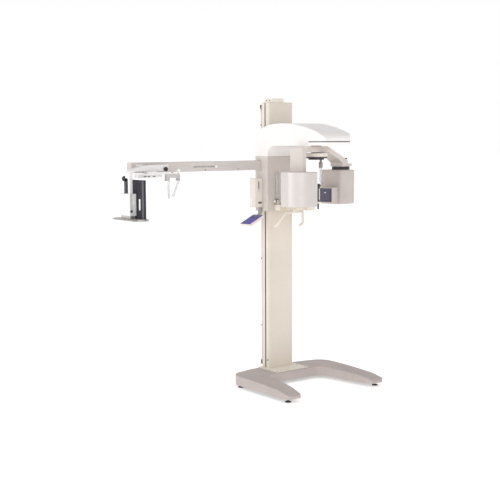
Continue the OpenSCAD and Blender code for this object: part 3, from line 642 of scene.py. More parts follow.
    @classmethod
    def together(cls, parts: Iterable["Solid"]) -> "Solid":
        """Hold several separate solids as one mesh.

        Args:
            parts: the solids, which keep their own places.

        Returns:
            One solid that holds them all, not merged.
        """
        bm = bmesh.new()
        for part in parts:
            bm.from_mesh(part.mesh)
        mesh = bpy.data.meshes.new("together")
        bm.to_mesh(mesh)
        bm.free()
        return cls(mesh)

    @classmethod
    def from_node(cls, node: str) -> "Solid":
        """Copy a CAD node's mesh, merged, with its flat faces whole again.

        Args:
            node: the CAD node's name.

        Returns:
            The solid.
        """
        bm = bmesh.new()
        bm.from_mesh(FRAME["nodes"][node].data)
        bmesh.ops.remove_doubles(bm, verts=bm.verts, dist=2e-6)
        bmesh.ops.dissolve_limit(bm, angle_limit=math.radians(1.0), verts=bm.verts, edges=bm.edges)
        mesh = bpy.data.meshes.new(node)
        bm.to_mesh(mesh)
        bm.free()
        return cls(mesh)

    def soften(
        self,
        radius: float,
        steps: int = 3,
        sharper_than: float = 28.0,
        where: Callable[[Vector], bool] | None = None,
    ) -> "Solid":
        """Round the edges that are sharper than an angle.

        Args:
            radius: the rounding in millimetres.
            steps: facets across each rounding.
            sharper_than: the smallest angle that is rounded, in degrees.
            where: a test on an edge's middle, in metres, or None for every edge.

        Returns:
            This solid, changed.
        """
        bm = bmesh.new()
        bm.from_mesh(self.mesh)
        limit = math.radians(sharper_than)
        edges = [
            e
            for e in bm.edges
            if len(e.link_faces) == 2
            and e.calc_face_angle(0.0) > limit
            and (where is None or where((e.verts[0].co + e.verts[1].co) / 2))
        ]
        bmesh.ops.bevel(
            bm,
            geom=edges,
            offset=radius * MM,
            offset_type="OFFSET",
            segments=steps,
            profile=0.5,
            affect="EDGES",
            clamp_overlap=True,
        )
        bm.to_mesh(self.mesh)
        bm.free()
        return self

    def turned(self, matrix: Matrix) -> "Solid":
        """Move the solid by a matrix in metres.

        Args:
            matrix: the move.

        Returns:
            The same solid, moved.
        """
        self.mesh.transform(matrix)
        return self


def smooth_path(path: Sequence[Point], between: int = 6) -> list[Point]:
    """Draw a smooth curve through points (Catmull-Rom).

    Args:
        path: the points.
        between: new points in each span.

    Returns:
        The points of the curve.
    """
    points = [Vector(p) for p in path]
    if len(points) < 3:
        return [tuple(p) for p in points]
    ends = [points[0] * 2 - points[1]] + points + [points[-1] * 2 - points[-2]]
    curve = []
    for i in range(1, len(ends) - 2):
        a, b, c, d = ends[i - 1 : i + 3]
        for k in range(between):
            t = k / between
            curve.append(
                tuple(
                    0.5
                    * (
                        2 * b
                        + (c - a) * t
                        + (2 * a - 5 * b + 4 * c - d) * t * t
                        + (3 * b - a - 3 * c + d) * t**3
                    )
                )
            )
    curve.append(tuple(points[-1]))
    return curve


def arc(centre: Flat, radius: float, start: float, end: float, steps: int = 8) -> list[Flat]:
    """List the points of an arc.

    Args:
        centre: the arc's centre.
        radius: its radius.
        start: first angle in degrees.
        end: last angle in degrees.
        steps: spans.

    Returns:
        The points.
    """
    return [
        (
            centre[0] + radius * math.cos(math.radians(start + (end - start) * k / steps)),
            centre[1] + radius * math.sin(math.radians(start + (end - start) * k / steps)),
        )
        for k in range(steps + 1)
    ]


def round_rect(low: Flat, high: Flat, radius: float | Sequence[float], steps: int = 6) -> list[Flat]:
    """Outline a rectangle with rounded corners.

    Args:
        low: its lowest corner.
        high: its highest corner.
        radius: one radius, or four from the highest corner anticlockwise.
        steps: spans in each corner.

    Returns:
        The outline, anticlockwise.
    """
    radii = [radius] * 4 if isinstance(radius, (int, float)) else list(radius)
    corners = [(high[0], high[1]), (low[0], high[1]), (low[0], low[1]), (high[0], low[1])]
    signs = [(-1, -1), (1, -1), (1, 1), (-1, 1)]
    outline: list[Flat] = []
    for k, (corner, sign, r) in enumerate(zip(corners, signs, radii)):
        outline += arc((corner[0] + sign[0] * r, corner[1] + sign[1] * r), r, 90 * k, 90 * k + 90, steps)
    return outline


# --------------------------------------------------------------------------- pieces


FRAME: dict = {}


def put(
    name: str,
    solid: Solid,
    body: str,
    finish: Finish,
    replaces: Iterable[str] = (),
    crease: float = 34.0,
) -> bpy.types.Object:
    """Make a finished piece of the machine from a solid.

    Args:
        name: the piece's name.
        solid: its shape.
        body: the CAD body it moves with.
        finish: its surface.
        replaces: CAD nodes that it stands for.
        crease: edges sharper than this many degrees stay sharp.

    Returns:
        The object.
    """
    mesh = solid.mesh
    mesh.name = name
    for polygon in mesh.polygons:
        polygon.use_smooth = True
        polygon.material_index = 0
    mesh.set_sharp_from_angle(angle=math.radians(crease))
    mesh.materials.clear()
    mesh.materials.append(finish.build())
    obj = bpy.data.objects.new(name, mesh)
    bpy.context.scene.collection.objects.link(obj)
    weighted = obj.modifiers.new("even_shading", "WEIGHTED_NORMAL")
    weighted.keep_sharp = True
    baked = evaluated(obj)
    obj.modifiers.clear()
    obj.data = baked
    baked.name = name
    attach(obj, body)
    if replaces:
        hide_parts(*replaces)
    LOG.info("piece %s on %s", name, body)
    return obj


def dress_node(node: str, finish: Finish) -> None:
    """Give a CAD node that stays as it is a finished material.

    Args:
        node: the CAD node's name.
        finish: its surface.
    """
    obj = FRAME["nodes"][node]
    material = finish.build()
    if not obj.material_slots:
        obj.data.materials.append(material)
    for place in obj.material_slots:
        place.material = material
    LOG.info("dressed %s", node)


def outer_edges(solid: Solid, slack: float = 0.4) -> Callable[[Vector], bool]:
    """Make a test for the edges on the outline of a solid's own box.

    Args:
        solid: the solid.
        slack: how far off the box an edge may be, in millimetres.

    Returns:
        A test on an edge's middle, in metres.
    """
    corners = [v.co for v in solid.mesh.vertices]
    low = [min(c[i] for c in corners) for i in range(3)]
    high = [max(c[i] for c in corners) for i in range(3)]

    def on_outline(middle: Vector) -> bool:
        """Say whether a point lies on two of the box's faces.

        Args:
            middle: the point, in metres.

        Returns:
            True when it does.
        """
        near = [min(middle[i] - low[i], high[i] - middle[i]) < slack * MM for i in range(3)]
        return sum(near) >= 2

    return on_outline


def home_of(node: str) -> str:
    """Find the body that a CAD node rides on.

    Args:
        node: the node's name.

    Returns:
        The body's name.
    """
    bodies = FRAME["record"]["behaviour"]["bodies"]
    return next(body for body, members in bodies.items() if node in members)


def stand_in(
    node: str, solid: Solid, finish: Finish, name: str | None = None, crease: float = 34.0
) -> bpy.types.Object:
    """Put a solid in the place of a CAD node, on its body.

    Args:
        node: the CAD node's name.
        solid: the new shape.
        finish: its surface.
        name: the piece's name, or None for one made from the node's.
        crease: edges sharper than this many degrees stay sharp.

    Returns:
        The object.
    """
    return put(name or "shaped_" + node, solid, home_of(node), finish, [node], crease)


def soft_node(
    node: str,
    finish: Finish,
    radius: float,
    steps: int = 4,
    fine: float = 0.5,
    where: Callable[[Vector], bool] | None = None,
    local: Matrix | None = None,
) -> bpy.types.Object:
    """Stand in for a CAD node with the same shape and rounded edges.

    Args:
        node: the CAD node's name.
        finish: its surface.
        radius: the rounding of the outline's edges in millimetres.
        steps: facets across each rounding.
        fine: the rounding of every other edge, in millimetres.
        where: which edges take the larger rounding, or None for the outline of its box.
        local: the turn that the node was built in.

    Returns:
        The object.
    """
    solid = Solid.from_node(node)
    if local:
        solid.turned(local.inverted())
    solid.soften(radius, steps, where=where or outer_edges(solid))
    if fine:
        solid.soften(fine, 2, sharper_than=50)
    if local:
        solid.turned(local)
    return stand_in(node, solid, finish)


class Unit(Enum):
    """The small shape that a repeat is made of."""

    BOX = "box"
    STUD = "stud"
    BALL = "ball"


def repeat_tree(unit: Unit) -> bpy.types.GeometryNodeTree:
    """Build the Geometry Nodes tree that puts one small shape on every point.

    Args:
        unit: which shape.

    Returns:
        The tree, with inputs Geometry, Size, Turn and Finish.
    """
    known = bpy.data.node_groups.get("repeat_" + unit.value)
    if known:
        return known
    tree = bpy.data.node_groups.new("repeat_" + unit.value, "GeometryNodeTree")
    face = tree.interface
    face.new_socket("Geometry", in_out="INPUT", socket_type="NodeSocketGeometry")
    face.new_socket("Size", in_out="INPUT", socket_type="NodeSocketVector")
    face.new_socket("Turn", in_out="INPUT", socket_type="NodeSocketRotation")
    face.new_socket("Finish", in_out="INPUT", socket_type="NodeSocketMaterial")
    face.new_socket("Geometry", in_out="OUTPUT", socket_type="NodeSocketGeometry")
    source = add_node(tree, "NodeGroupInput")
    sink = add_node(tree, "NodeGroupOutput")
    if unit is Unit.BOX:
        shape = add_node(tree, "GeometryNodeMeshCube", {"Size": (1.0, 1.0, 1.0)})
    elif unit is Unit.STUD:
        shape = add_node(tree, "GeometryNodeMeshCylinder", {"Vertices": 16, "Radius": 0.5, "Depth": 1.0})
    else:
        shape = add_node(tree, "GeometryNodeMeshIcoSphere", {"Radius": 0.5, "Subdivisions": 2})
    points = add_node(tree, "GeometryNodeMeshToPoints", {"Mesh": source.outputs["Geometry"]})
    copies = add_node(
        tree,
        "GeometryNodeInstanceOnPoints",
        {
            "Points": points.outputs[0],
            "Instance": shape.outputs[0],
            "Rotation": source.outputs["Turn"],
            "Scale": source.outputs["Size"],
        },
    )
    real = add_node(tree, "GeometryNodeRealizeInstances", {"Geometry": copies.outputs[0]})
    skin = add_node(
        tree, "GeometryNodeSetMaterial", {"Geometry": real.outputs[0], "Material": source.outputs["Finish"]}
    )
    tree.links.new(skin.outputs[0], sink.inputs[0])
    return tree


def repeat(
    name: str,
    unit: Unit,
    points: Sequence[Point],
    size: Point,
    body: str,
    finish: Finish,
    turn_deg: Point = (0.0, 0.0, 0.0),
    edge: float = 0.4,
    place: Matrix | None = None,
) -> bpy.types.Object:
    """Repeat a small shape at points with Geometry Nodes, as one piece.

    Args:
        name: the piece's name.
        unit: the shape.
        points: where, in millimetres.
        size: its size in millimetres, before it is turned.
        body: the CAD body it moves with.
        finish: its surface.
        turn_deg: how each one is turned.
        edge: rounding of its edges in millimetres.
        place: a last move in metres, such as the rotor's turn.

    Returns:
        The object.
    """
    mesh = bpy.data.meshes.new(name)
    mesh.from_pydata([tuple(c * MM for c in p) for p in points], [], [])
    obj = bpy.data.objects.new(name, mesh)
    bpy.context.scene.collection.objects.link(obj)
    tree = repeat_tree(unit)
    mod = obj.modifiers.new("repeat", "NODES")
    mod.node_group = tree
    values = {
        "Size": [c * MM for c in size],
        "Turn": [math.radians(c) for c in turn_deg],
        "Finish": finish.build(),
    }
    for item in tree.interface.items_tree:
        if item.in_out == "INPUT" and item.name in values:
            mod[item.identifier] = values[item.name]
    shaped = evaluated(obj)
    drop(obj)
    bm = bmesh.new()
    bm.from_mesh(shaped)
    if edge and unit is not Unit.BALL:
        edges = [e for e in bm.edges if e.calc_face_angle(0.0) > math.radians(40)]
        bmesh.ops.bevel(
            bm, geom=edges, offset=edge * MM, segments=2, profile=0.5, affect="EDGES", clamp_overlap=True
        )
    bm.to_mesh(shaped)
    bm.free()
    solid = Solid(shaped)
    if place:
        solid.turned(place)
    return put(name, solid, body, finish)


def screws(name: str, points: Sequence[Point], axis: str, body: str, radius: float = 4.0) -> None:
    """Add a row of domed socket screws, each with a thin dark disc on its head as painted shade for the
    socket recess.

    Args:
        name: the start of the pieces' names.
        points: the middles of the heads on the surface, in millimetres.
        axis: the way the heads face, such as "-Y".
        body: the CAD body they move with.
        radius: of the heads, in millimetres.
    """
    sign = 1.0 if axis[0] == "+" else -1.0
    way = Vector([sign if letter == axis[1] else 0.0 for letter in "XYZ"])
    turn = {"Y": (90.0, 0.0, 0.0), "X": (0.0, 90.0, 0.0), "Z": (0.0, 0.0, 0.0)}[axis[1]]
    repeat(name, Unit.STUD, points, (2 * radius, 2 * radius, 2.4), body, ZINC, turn, 0.8)
    # A thin dark disc on each head: painted shade standing in for the socket recess.
    tops = [tuple(Vector(p) + way * 1.05) for p in points]
    repeat(
        name + "_sockets", Unit.STUD, tops, (radius, radius, 0.5), body, STEEL_DARK, turn, 0.1
    )


# --------------------------------------------------------------------------- sub-assemblies


@dataclass
class Base:
    """The floor base: three covers round a frame, four feet and the column's foot plate."""

    cover_edge: float = 8.0
    seam_x: float = 200.0
    foot_x: float = 403.0
    foot_y: float = 270.0
    pad_radius: float = 22.0
    screw_x: float = 130.0
    side: tuple[Flat, ...] = ((412, 88), (140, 88), (-27, 84), (-200, 75.5), (-310, 57), (-325, 45))

    def top_z(self, y: float) -> float:
        """Height of the covers' top at a place along the legs, in millimetres.

        Args:
            y: the place along the legs, in millimetres.

        Returns:
            The height in millimetres.
        """
        for (y1, z1), (y0, z0) in zip(self.side, self.side[1:]):
            if y0 <= y <= y1:
                return z0 + (z1 - z0) * (y - y0) / (y1 - y0)
        return self.side[-1][1]

    def on_rim(self, middle: Vector) -> bool:
        """Pick the top outline of a cover, away from its seams and the column's opening.

        Args:
            middle: the middle of an edge, in metres.

        Returns:
            True for an edge to round.
        """
        x, y, z = (c / MM for c in middle)
        seam = abs(abs(x) - self.seam_x) < 1.0
        opening = abs(x) < 107 and y > COLUMN_FRONT - 3
        return abs(z - self.top_z(y)) < 0.8 and not seam and not opening

    def build(self) -> None:
        """Make every piece of the base."""
        for node in ("base_cover_left", "base_cover_right", "base_cover_cross"):
            soft_node(node, BASE_COAT, self.cover_edge, 5, 0.9, self.on_rim)
        self.feet()
        soft_node("column_foot_plate", PLATE_COAT, 1.6, 3)
        heads = [(x, y, 92.0) for x in (-self.screw_x, self.screw_x) for y in (195.0, 290.0, 390.0)]
        screws("foot_plate_screws", heads, "+Z", "stand", 5.0)
        dress_node("base_frame", CAST_IRON)

    def feet(self) -> None:
        """Turn the rubber pads, the studs and the lock nuts of the levelling feet."""
        places = [(x, y) for x in (-self.foot_x, self.foot_x) for y in (-self.foot_y, self.foot_y)]
        r = self.pad_radius
        pad = [(0, 0), (r - 2, 0), (r, 1.5), (r, 4), (r - 3, 6.5), (r - 9, 8), (0, 8)]
        stud = [(0, 7), (6, 7), (6, 9), (5.4, 10), (6, 11), (5.4, 12), (6, 13), (5.4, 14), (6, 15)]
        stud += [(5.4, 16), (6, 17), (6, 50), (0, 50)]
        nut = [(0, 20), (9, 20), (10, 21), (10, 27), (9, 28), (0, 28)]
        pads = Solid.together(Solid.lathe(pad, (x, y, 0)) for x, y in places)
        metal = [Solid.lathe(stud, (x, y, 0), steps=32) for x, y in places]
        metal += [Solid.lathe(nut, (x, y, 0), steps=6) for x, y in places]
        stand_in("levelling_feet", Solid.together(metal), ZINC, "foot_studs_and_nuts", 20)
        put("foot_pads", pads, "stand", BRONZED)


@dataclass
class Column:
    """The column: its covers, mast, cap and the lift drive inside it."""

    corner: float = 6.0
    plug_y: float = 335.0
    plug_z: float = 150.0

    def on_corner(self, middle: Vector) -> bool:
        """Pick the long outer corners of a cover.

        Args:
            middle: the middle of an edge, in metres.

        Returns:
            True for an edge to round.
        """
        x, y, z = (c / MM for c in middle)
        faces = (COLUMN_FRONT, COLUMN_BACK)
        return abs(x) > 109.5 and 200 < z < 1990 and min(abs(y - face) for face in faces) < 0.5

    def build(self) -> None:
        """Make every piece of the column."""
        for node in ("column_front_cover", "column_rear_cover"):
            soft_node(node, COLUMN_COAT, self.corner, 5, 0.4, self.on_corner)
        soft_node("column_cap", PLATE_COAT, 5.0, 4, 0.8)
        plug_side = [(0, 0), (4.8, 0), (4.8, 2), (0, 2)]
        plugs = [Solid.lathe(plug_side, (-77.5, y, 2061), "X", 24) for y in (346, 384)]
        put("cap_hole_plugs", Solid.together(plugs), "stand", DARK_ABS)
        soft_node("cable_fittings", DARK_ABS, 0.8, 2, 0.3)
        plug = [(0, -0.5), (7, -0.5), (7, 1.2), (5.5, 2.2), (0, 2.4)]
        solid = Solid.lathe(plug, (0, 0, 0), "X", 32).turned(Matrix.Rotation(math.pi, 4, "Z"))
        solid.turned(Matrix.Translation((-110 * MM, self.plug_y * MM, self.plug_z * MM)))
        put("column_side_plug", solid, "stand", DARK_ABS)
        for node, finish in (
            ("mast_frame", MAST_ANODISED),
            ("mast_cable", SHEATH),
            ("lift_belt", RUBBER),
            ("lower_pulley", BRUSHED),
            ("upper_pulley", BRUSHED),
            ("counterweight", CAST_IRON),
            ("lift_motor", STEEL_DARK),
        ):
            dress_node(node, finish)


@dataclass
class Carriage:
    """The lifting carriage with the overhead that carries the rotor."""

    housing_edge: float = 9.0
    overhead_edge: float = 13.0
    step_radii: Flat = (55.0, 76.0)
    roof: tuple[Flat, ...] = (
        (421, 1826), (390, 1844), (340, 1861), (266, 1883), (140, 1892), (16, 1888), (-40, 1879),
        (-130, 1862), (-226, 1836), (-270, 1819), (-296, 1804), (-306, 1792), (-310, 1776),
    )

    def on_roof_rim(self, middle: Vector) -> bool:
        """Pick the edge where the overhead's roof meets its sides.

        Args:
            middle: the middle of an edge, in metres.

        Returns:
            True for an edge to round.
        """
        x, y, z = (c / MM for c in middle)
        if abs(x) < 115 and y > 300:
            return False
        for (y1, z1), (y0, z0) in zip(self.roof, self.roof[1:]):
            if y0 - 0.5 <= y <= y1 + 0.5 and y1 != y0:
                return abs(z - (z0 + (z1 - z0) * (y - y0) / (y1 - y0))) < 0.7
        return False

    def build(self) -> None:
        """Make every piece of the carriage's body."""
        soft_node("carriage_housing", CARRIAGE_COAT, self.housing_edge, 5, 0.5)
        soft_node("carriage_back_panel", CARRIAGE_COAT, 1.2, 2)
        heads = [(x, CARRIAGE_BACK, z) for x in (-140.0, 140.0) for z in (1290.0, 1460.0, 1630.0)]
        screws("back_panel_screws", heads, "+Y", "carriage", 4.5)
        soft_node("overhead_shell", SHELL_WHITE, self.overhead_edge, 6, 0.8, self.on_roof_rim)
        soft_node("overhead_pan", PAN_GREY, 1.0, 2, 0.4)
        dress_node("overhead_trim", TRIM_DARK)
        self.spindle()
        soft_node("head_bar_bracket", GREY_ABS, 2.0, 3, 0.5)
        soft_node("head_bar", ACRYLIC, 1.2, 3, 0)
        for node, finish in (("lift_frame", ZINC), ("guide_shoes", NYLON), ("slew_motor", STEEL_DARK)):
            dress_node(node, finish)

    def spindle(self) -> None:
        """Turn the spindle's visible disc with softened rims, and its dark friction band."""
        soft_node("spindle_disc", PLATE_COAT, 1.6, 3, 0, lambda middle: True)
        low, high = self.step_radii
        skin = [(0, 0), (low, 0), (low + 0.6, 0.6), (low + 0.6, 10), (high, 10), (high + 0.6, 10.6)]
        skin += [(high + 0.6, 21), (high, 21.6), (0, 21.6)]
        solid = Solid.lathe(skin, (0, AXIS_Y, 1634.7), steps=72)
        put("spindle_skirt", solid, "carriage", SWIVEL_DARK)


@dataclass
class PatientSupport:
    """The chin support, bite post, hand grips and temple bars."""

    grip_radius: float = 10.0
    grip_y: float = 156.0
    grip_z: float = 1255.0
    post: Flat = (19.0, -84.0)
    temple: Point = (72.0, 264.0, 1332.0)
    bar_top: float = 200.0

    def build(self) -> None:
        """Make every piece of the patient support."""
        soft_node("chin_support", CHIN_CREAM, 3.0, 4, 0.7)
        self.grips()
        self.bite_post()
        for side, node in ((-1, "temple_bar_left"), (1, "temple_bar_right")):
            self.temple_bar(side, node)

    def grips(self) -> None:
        """Bend the dip-coated grip tube and add the block it hangs from."""
        y, z = self.grip_y, self.grip_z
        half = [(38, y, z), (66, y, z), (78, y + 3, z - 6), (96, y + 23, z - 40), (117, y + 47, z - 81)]
        half += [(119, y + 64, z - 97), (113, y + 77, z - 104)]
        path = [(-a, b, c) for a, b, c in reversed(half)] + [(0, y, z)] + half
        tube = Solid.tube(path, self.grip_radius, 28)
        block = Solid.box((-18, y - 10, z), (18, y + 10, 1275)).soften(2.5)
        stand_in("hand_grip_bar", Solid.together([tube, block]), GRIP_CREAM, "hand_grips")

    def bite_post(self) -> None:
        """Turn the bite post, its collar and clamp knob."""
        x, y = self.post
        rod = [(0, 1287), (5, 1287), (6, 1288), (6, 1339.5), (10, 1339.5), (11, 1340.5), (11, 1352)]
        rod += [(10, 1353), (6, 1353), (6, 1441), (0, 1441)]
        clamp = Solid.box((x - 11, y - 9, 1431), (x + 10, y + 9, 1467)).soften(2.5)
        knob = [(0, 0), (6.4, 0), (7, 0.8), (7, 11), (6, 12.6), (0, 13)]
        turned = Solid.lathe(knob, (0, 0, 0), "Y", 40).turned(Matrix.Rotation(math.pi, 4, "Z"))
        turned.turned(Matrix.Translation((x * MM, (y - 9) * MM, 1453 * MM)))
        parts = [Solid.lathe(rod, (x, y, 0), steps=40), clamp, turned]
        stand_in("bite_post", Solid.together(parts), DARK_ABS, "bite_post_and_clamp")

    def temple_bar(self, side: int, node: str) -> None:
        """Make one clear temple bar with its grey foot and white end balls.

        Args:
            side: -1 for the left bar, 1 for the right one.
            node: the CAD node it stands for.
        """
        x, y, z = self.temple
        x *= side
        body = home_of(node)
        bar = Solid.box((x - 9.5, y - 4, z + 17.5), (x + 9.5, y + 4, z + self.bar_top))
        stand_in(node, bar.soften(1.6), ACRYLIC, node + "_blade")
        foot = Solid.box((x - 9.5, y - 5.5, z - 7), (x + 9.5, y + 5.5, z + 18)).soften(1.8)
        pin = Solid.lathe([(0, -10), (3, -10), (3, 10), (0, 10)], (x, y, z), "Y", 24)
        axle = Solid.lathe([(0, -22), (3, -22), (3, 24), (0, 24)], (0, 0, 0), "X", 24)
        if side < 0:
            axle.turned(Matrix.Rotation(math.pi, 4, "Z"))
        axle.turned(Matrix.Translation((x * MM, y * MM, z * MM)))
        put(node + "_foot", Solid.together([foot, pin, axle]), body, GREY_ABS)
        balls = [Solid.ball((x + side * 24, y, z), 8), Solid.ball((x - side * 22, y, z), 6)]
        put(node + "_balls", Solid.together(balls), body, KNOB_WHITE)


@dataclass
class Controls:
    """The control box on the carriage's side and the keypad under it."""

    hinge: Point = (-160.0, 0.0, 1230.0)
    tilt_deg: float = 26.6
    rows: int = 5
    columns: int = 6

    def keypad_frame(self) -> Matrix:
        """Give the tilted frame that the keypad is built in, in metres.

        Returns:
            The frame, from the keypad to the machine.
        """
        place = Matrix.Translation((self.hinge[0] * MM, 0, self.hinge[2] * MM))
        return place @ Matrix.Rotation(math.radians(-self.tilt_deg), 4, "Y")

    def build(self) -> None:
        """Make the control box, its rocker and the keypad."""
        soft_node("control_box", CONTROL_CREAM, 5.0, 4, 0.5)
        soft_node("box_rocker", DARK_ABS, 1.2, 3, 0.3)
        self.box_details()
        soft_node("keypad_bracket", ZINC, 1.0, 2, 0.4)
        frame = self.keypad_frame()
        soft_node("keypad_housing", CONTROL_CREAM, 3.0, 4, 0.6, local=frame)
        soft_node("keypad_membrane", PANEL_PURPLE, 0.4, 2, 0, local=frame)
        self.keys(frame)

    def box_details(self) -> None:
        """Add a dark insert and dark slats in the front slot as painted shade for the slot's dark depth, the
        lamp under it and the side button plate.
        """
        # Painted shade: a dark insert and dark slats fill the shallow slot so that it reads as dark as a deep
        # one.
        slot_shade_insert = Solid.box((-193.8, 331.7, 1420.3), (-186.2, 335, 1476.7)).soften(0.5, 2)
        put("control_slot_painted_shade", slot_shade_insert, "carriage", DARK_ABS)
        slats = [(-190.0, 331.5, 1424.0 + 5.4 * k) for k in range(10)]
        repeat("control_slot_shade_slats", Unit.BOX, slats, (6.4, 1.0, 2.0), "carriage", STEEL_DARK,
               edge=0.2)
        lamp = Solid.lathe([(0, 0), (2.6, 0), (2.6, 2), (1.8, 2.8), (0, 3)], (0, 0, 0), "Y", 24)
        lamp.turned(Matrix.Rotation(math.pi, 4, "Z"))
        lamp.turned(Matrix.Translation((-190 * MM, 333 * MM, 1410 * MM)))
        put("control_lamp", lamp, "carriage", DARK_ABS)
        outline = round_rect((366, 1304), (392, 1356), 12.9, 8)
        plate = Solid.prism(outline, -223.9, -222.0, "X").soften(0.5, 2, 60)
        put("side_button_plate", plate, "carriage", BOX_WHITE)

    def keys(self, frame: Matrix) -> None:
        """Lay raised keys and the display window on the film.

        Args:
            frame: the keypad's own frame, in metres.
        """
        low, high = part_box("keypad_membrane")
        front = low.y / MM
        depth = (high.y - low.y) / MM
        lift = 10.9
        points = [
            (-138 + 17.0 * row, front + 11 + (depth - 22) * column / (self.columns - 1), lift)
            for row in range(self.rows)
            for column in range(self.columns)
        ]
        repeat("keypad_keys", Unit.BOX, points, (10, 12, 1.0), "keypad", KEY_PURPLE,
               edge=0.35, place=frame)
        glass = Solid.box((-44, front + 12, 10.4), (-26, front + depth - 12, 11.4)).soften(0.4, 2)
        put("keypad_display", glass.turned(frame), "keypad", DISPLAY_DARK)


@dataclass
class Rotor:
    """The turning arm with the film drum, and the tube head that hangs from it."""

    low_z: float = 1316.0
    high_z: float = 1556.0
    head_high_z: float = 1560.0
    seam_s: float = 252.5
    swivel_s: float = 290.0
    lock_s: float = 338.0
    boss_z: float = 1582.0

    def on_drum_rim(self, middle: Vector) -> bool:
        """Pick the top and bottom rims of the drum, away from its open side.

        Args:
            middle: the middle of an edge, in metres, in the rotor's own frame.

        Returns:
            True for an edge to round.
        """
        z = middle.z / MM
        return (z > self.high_z - 0.5 or z < self.low_z + 0.5) and middle.x / MM < -147.0

    def on_head_rim(self, middle: Vector) -> bool:
        """Pick the top and bottom rims of the tube head, away from its seam.

        Args:
            middle: the middle of an edge, in metres, in the rotor's own frame.

        Returns:
            True for an edge to round.
        """
        z = middle.z / MM
        rim = z > self.head_high_z - 0.5 or z < self.low_z + 0.5
        return rim and abs(middle.x / MM - self.seam_s) > 1.0

    def build(self) -> None:
        """Make every piece that turns with the rotor."""
        soft_node("rotor_arm", ROTOR_COAT, 6.0, 4, 1.2, local=ROTOR_TURN)
        soft_node("drum_shell", SILVER_LACQUER, 7.0, 5, 0.5, self.on_drum_rim, ROTOR_TURN)
        soft_node("drum_plate", SILVER_LACQUER, 1.0, 3, 0.4, local=ROTOR_TURN)
        for node in ("tube_head_front", "tube_head_rear"):
            soft_node(node, HEAD_TEXTURE, 13.0, 6, 0.9, self.on_head_rim, ROTOR_TURN)
        dress_node("image_receptor", DARK_ABS)
        dress_node("xray_tube", STEEL_DARK)
        self.window()
        self.swivel()
        self.lock_knob()

    def window(self) -> None:
        """Dress the collimator with its tinted plate and a small blank mark."""
        soft_node("collimator", WINDOW_PURPLE, 1.0, 3, 0.3, local=ROTOR_TURN)
        mark = Solid.box((95.4, -14, 1398), (96.6, 2, 1404)).soften(0.3, 2)
        put("window_blank_mark", mark.turned(ROTOR_TURN), "tube_head", LABEL_WHITE)

    def swivel(self) -> None:
        """Turn the swivel disc and ring it with fine ribs."""
        soft_node("swivel_disc", SWIVEL_DARK, 1.4, 3, 0, lambda middle: True, ROTOR_TURN)
        radius = 62.7
        count = 60
        points = []
        for k in range(count):
            turn = 2 * math.pi * k / count
            points.append((self.swivel_s + radius * math.cos(turn), radius * math.sin(turn), 1571.0))
        repeat("swivel_ribs", Unit.STUD, points, (2.0, 2.0, 15.0), "tube_head", SWIVEL_DARK,
               edge=0.3, place=ROTOR_TURN)

    def lock_knob(self) -> None:
        """Turn the lock knob with its waist and flared head."""
        stem = [(0, 1), (4, 1), (4, 22.5), (14, 22.5), (15, 23.5), (12.5, 27), (8, 32), (5.4, 38)]
        head = [(7, 43), (12, 49), (17, 54), (19.4, 57), (20, 59), (19.4, 61.2), (17.5, 62), (0, 62)]
        solid = Solid.lathe(stem + head, (self.lock_s, 0, self.boss_z), steps=56).turned(ROTOR_TURN)
        stand_in("lock_knob", solid, DARK_GLOSS, "lock_knob_turned")


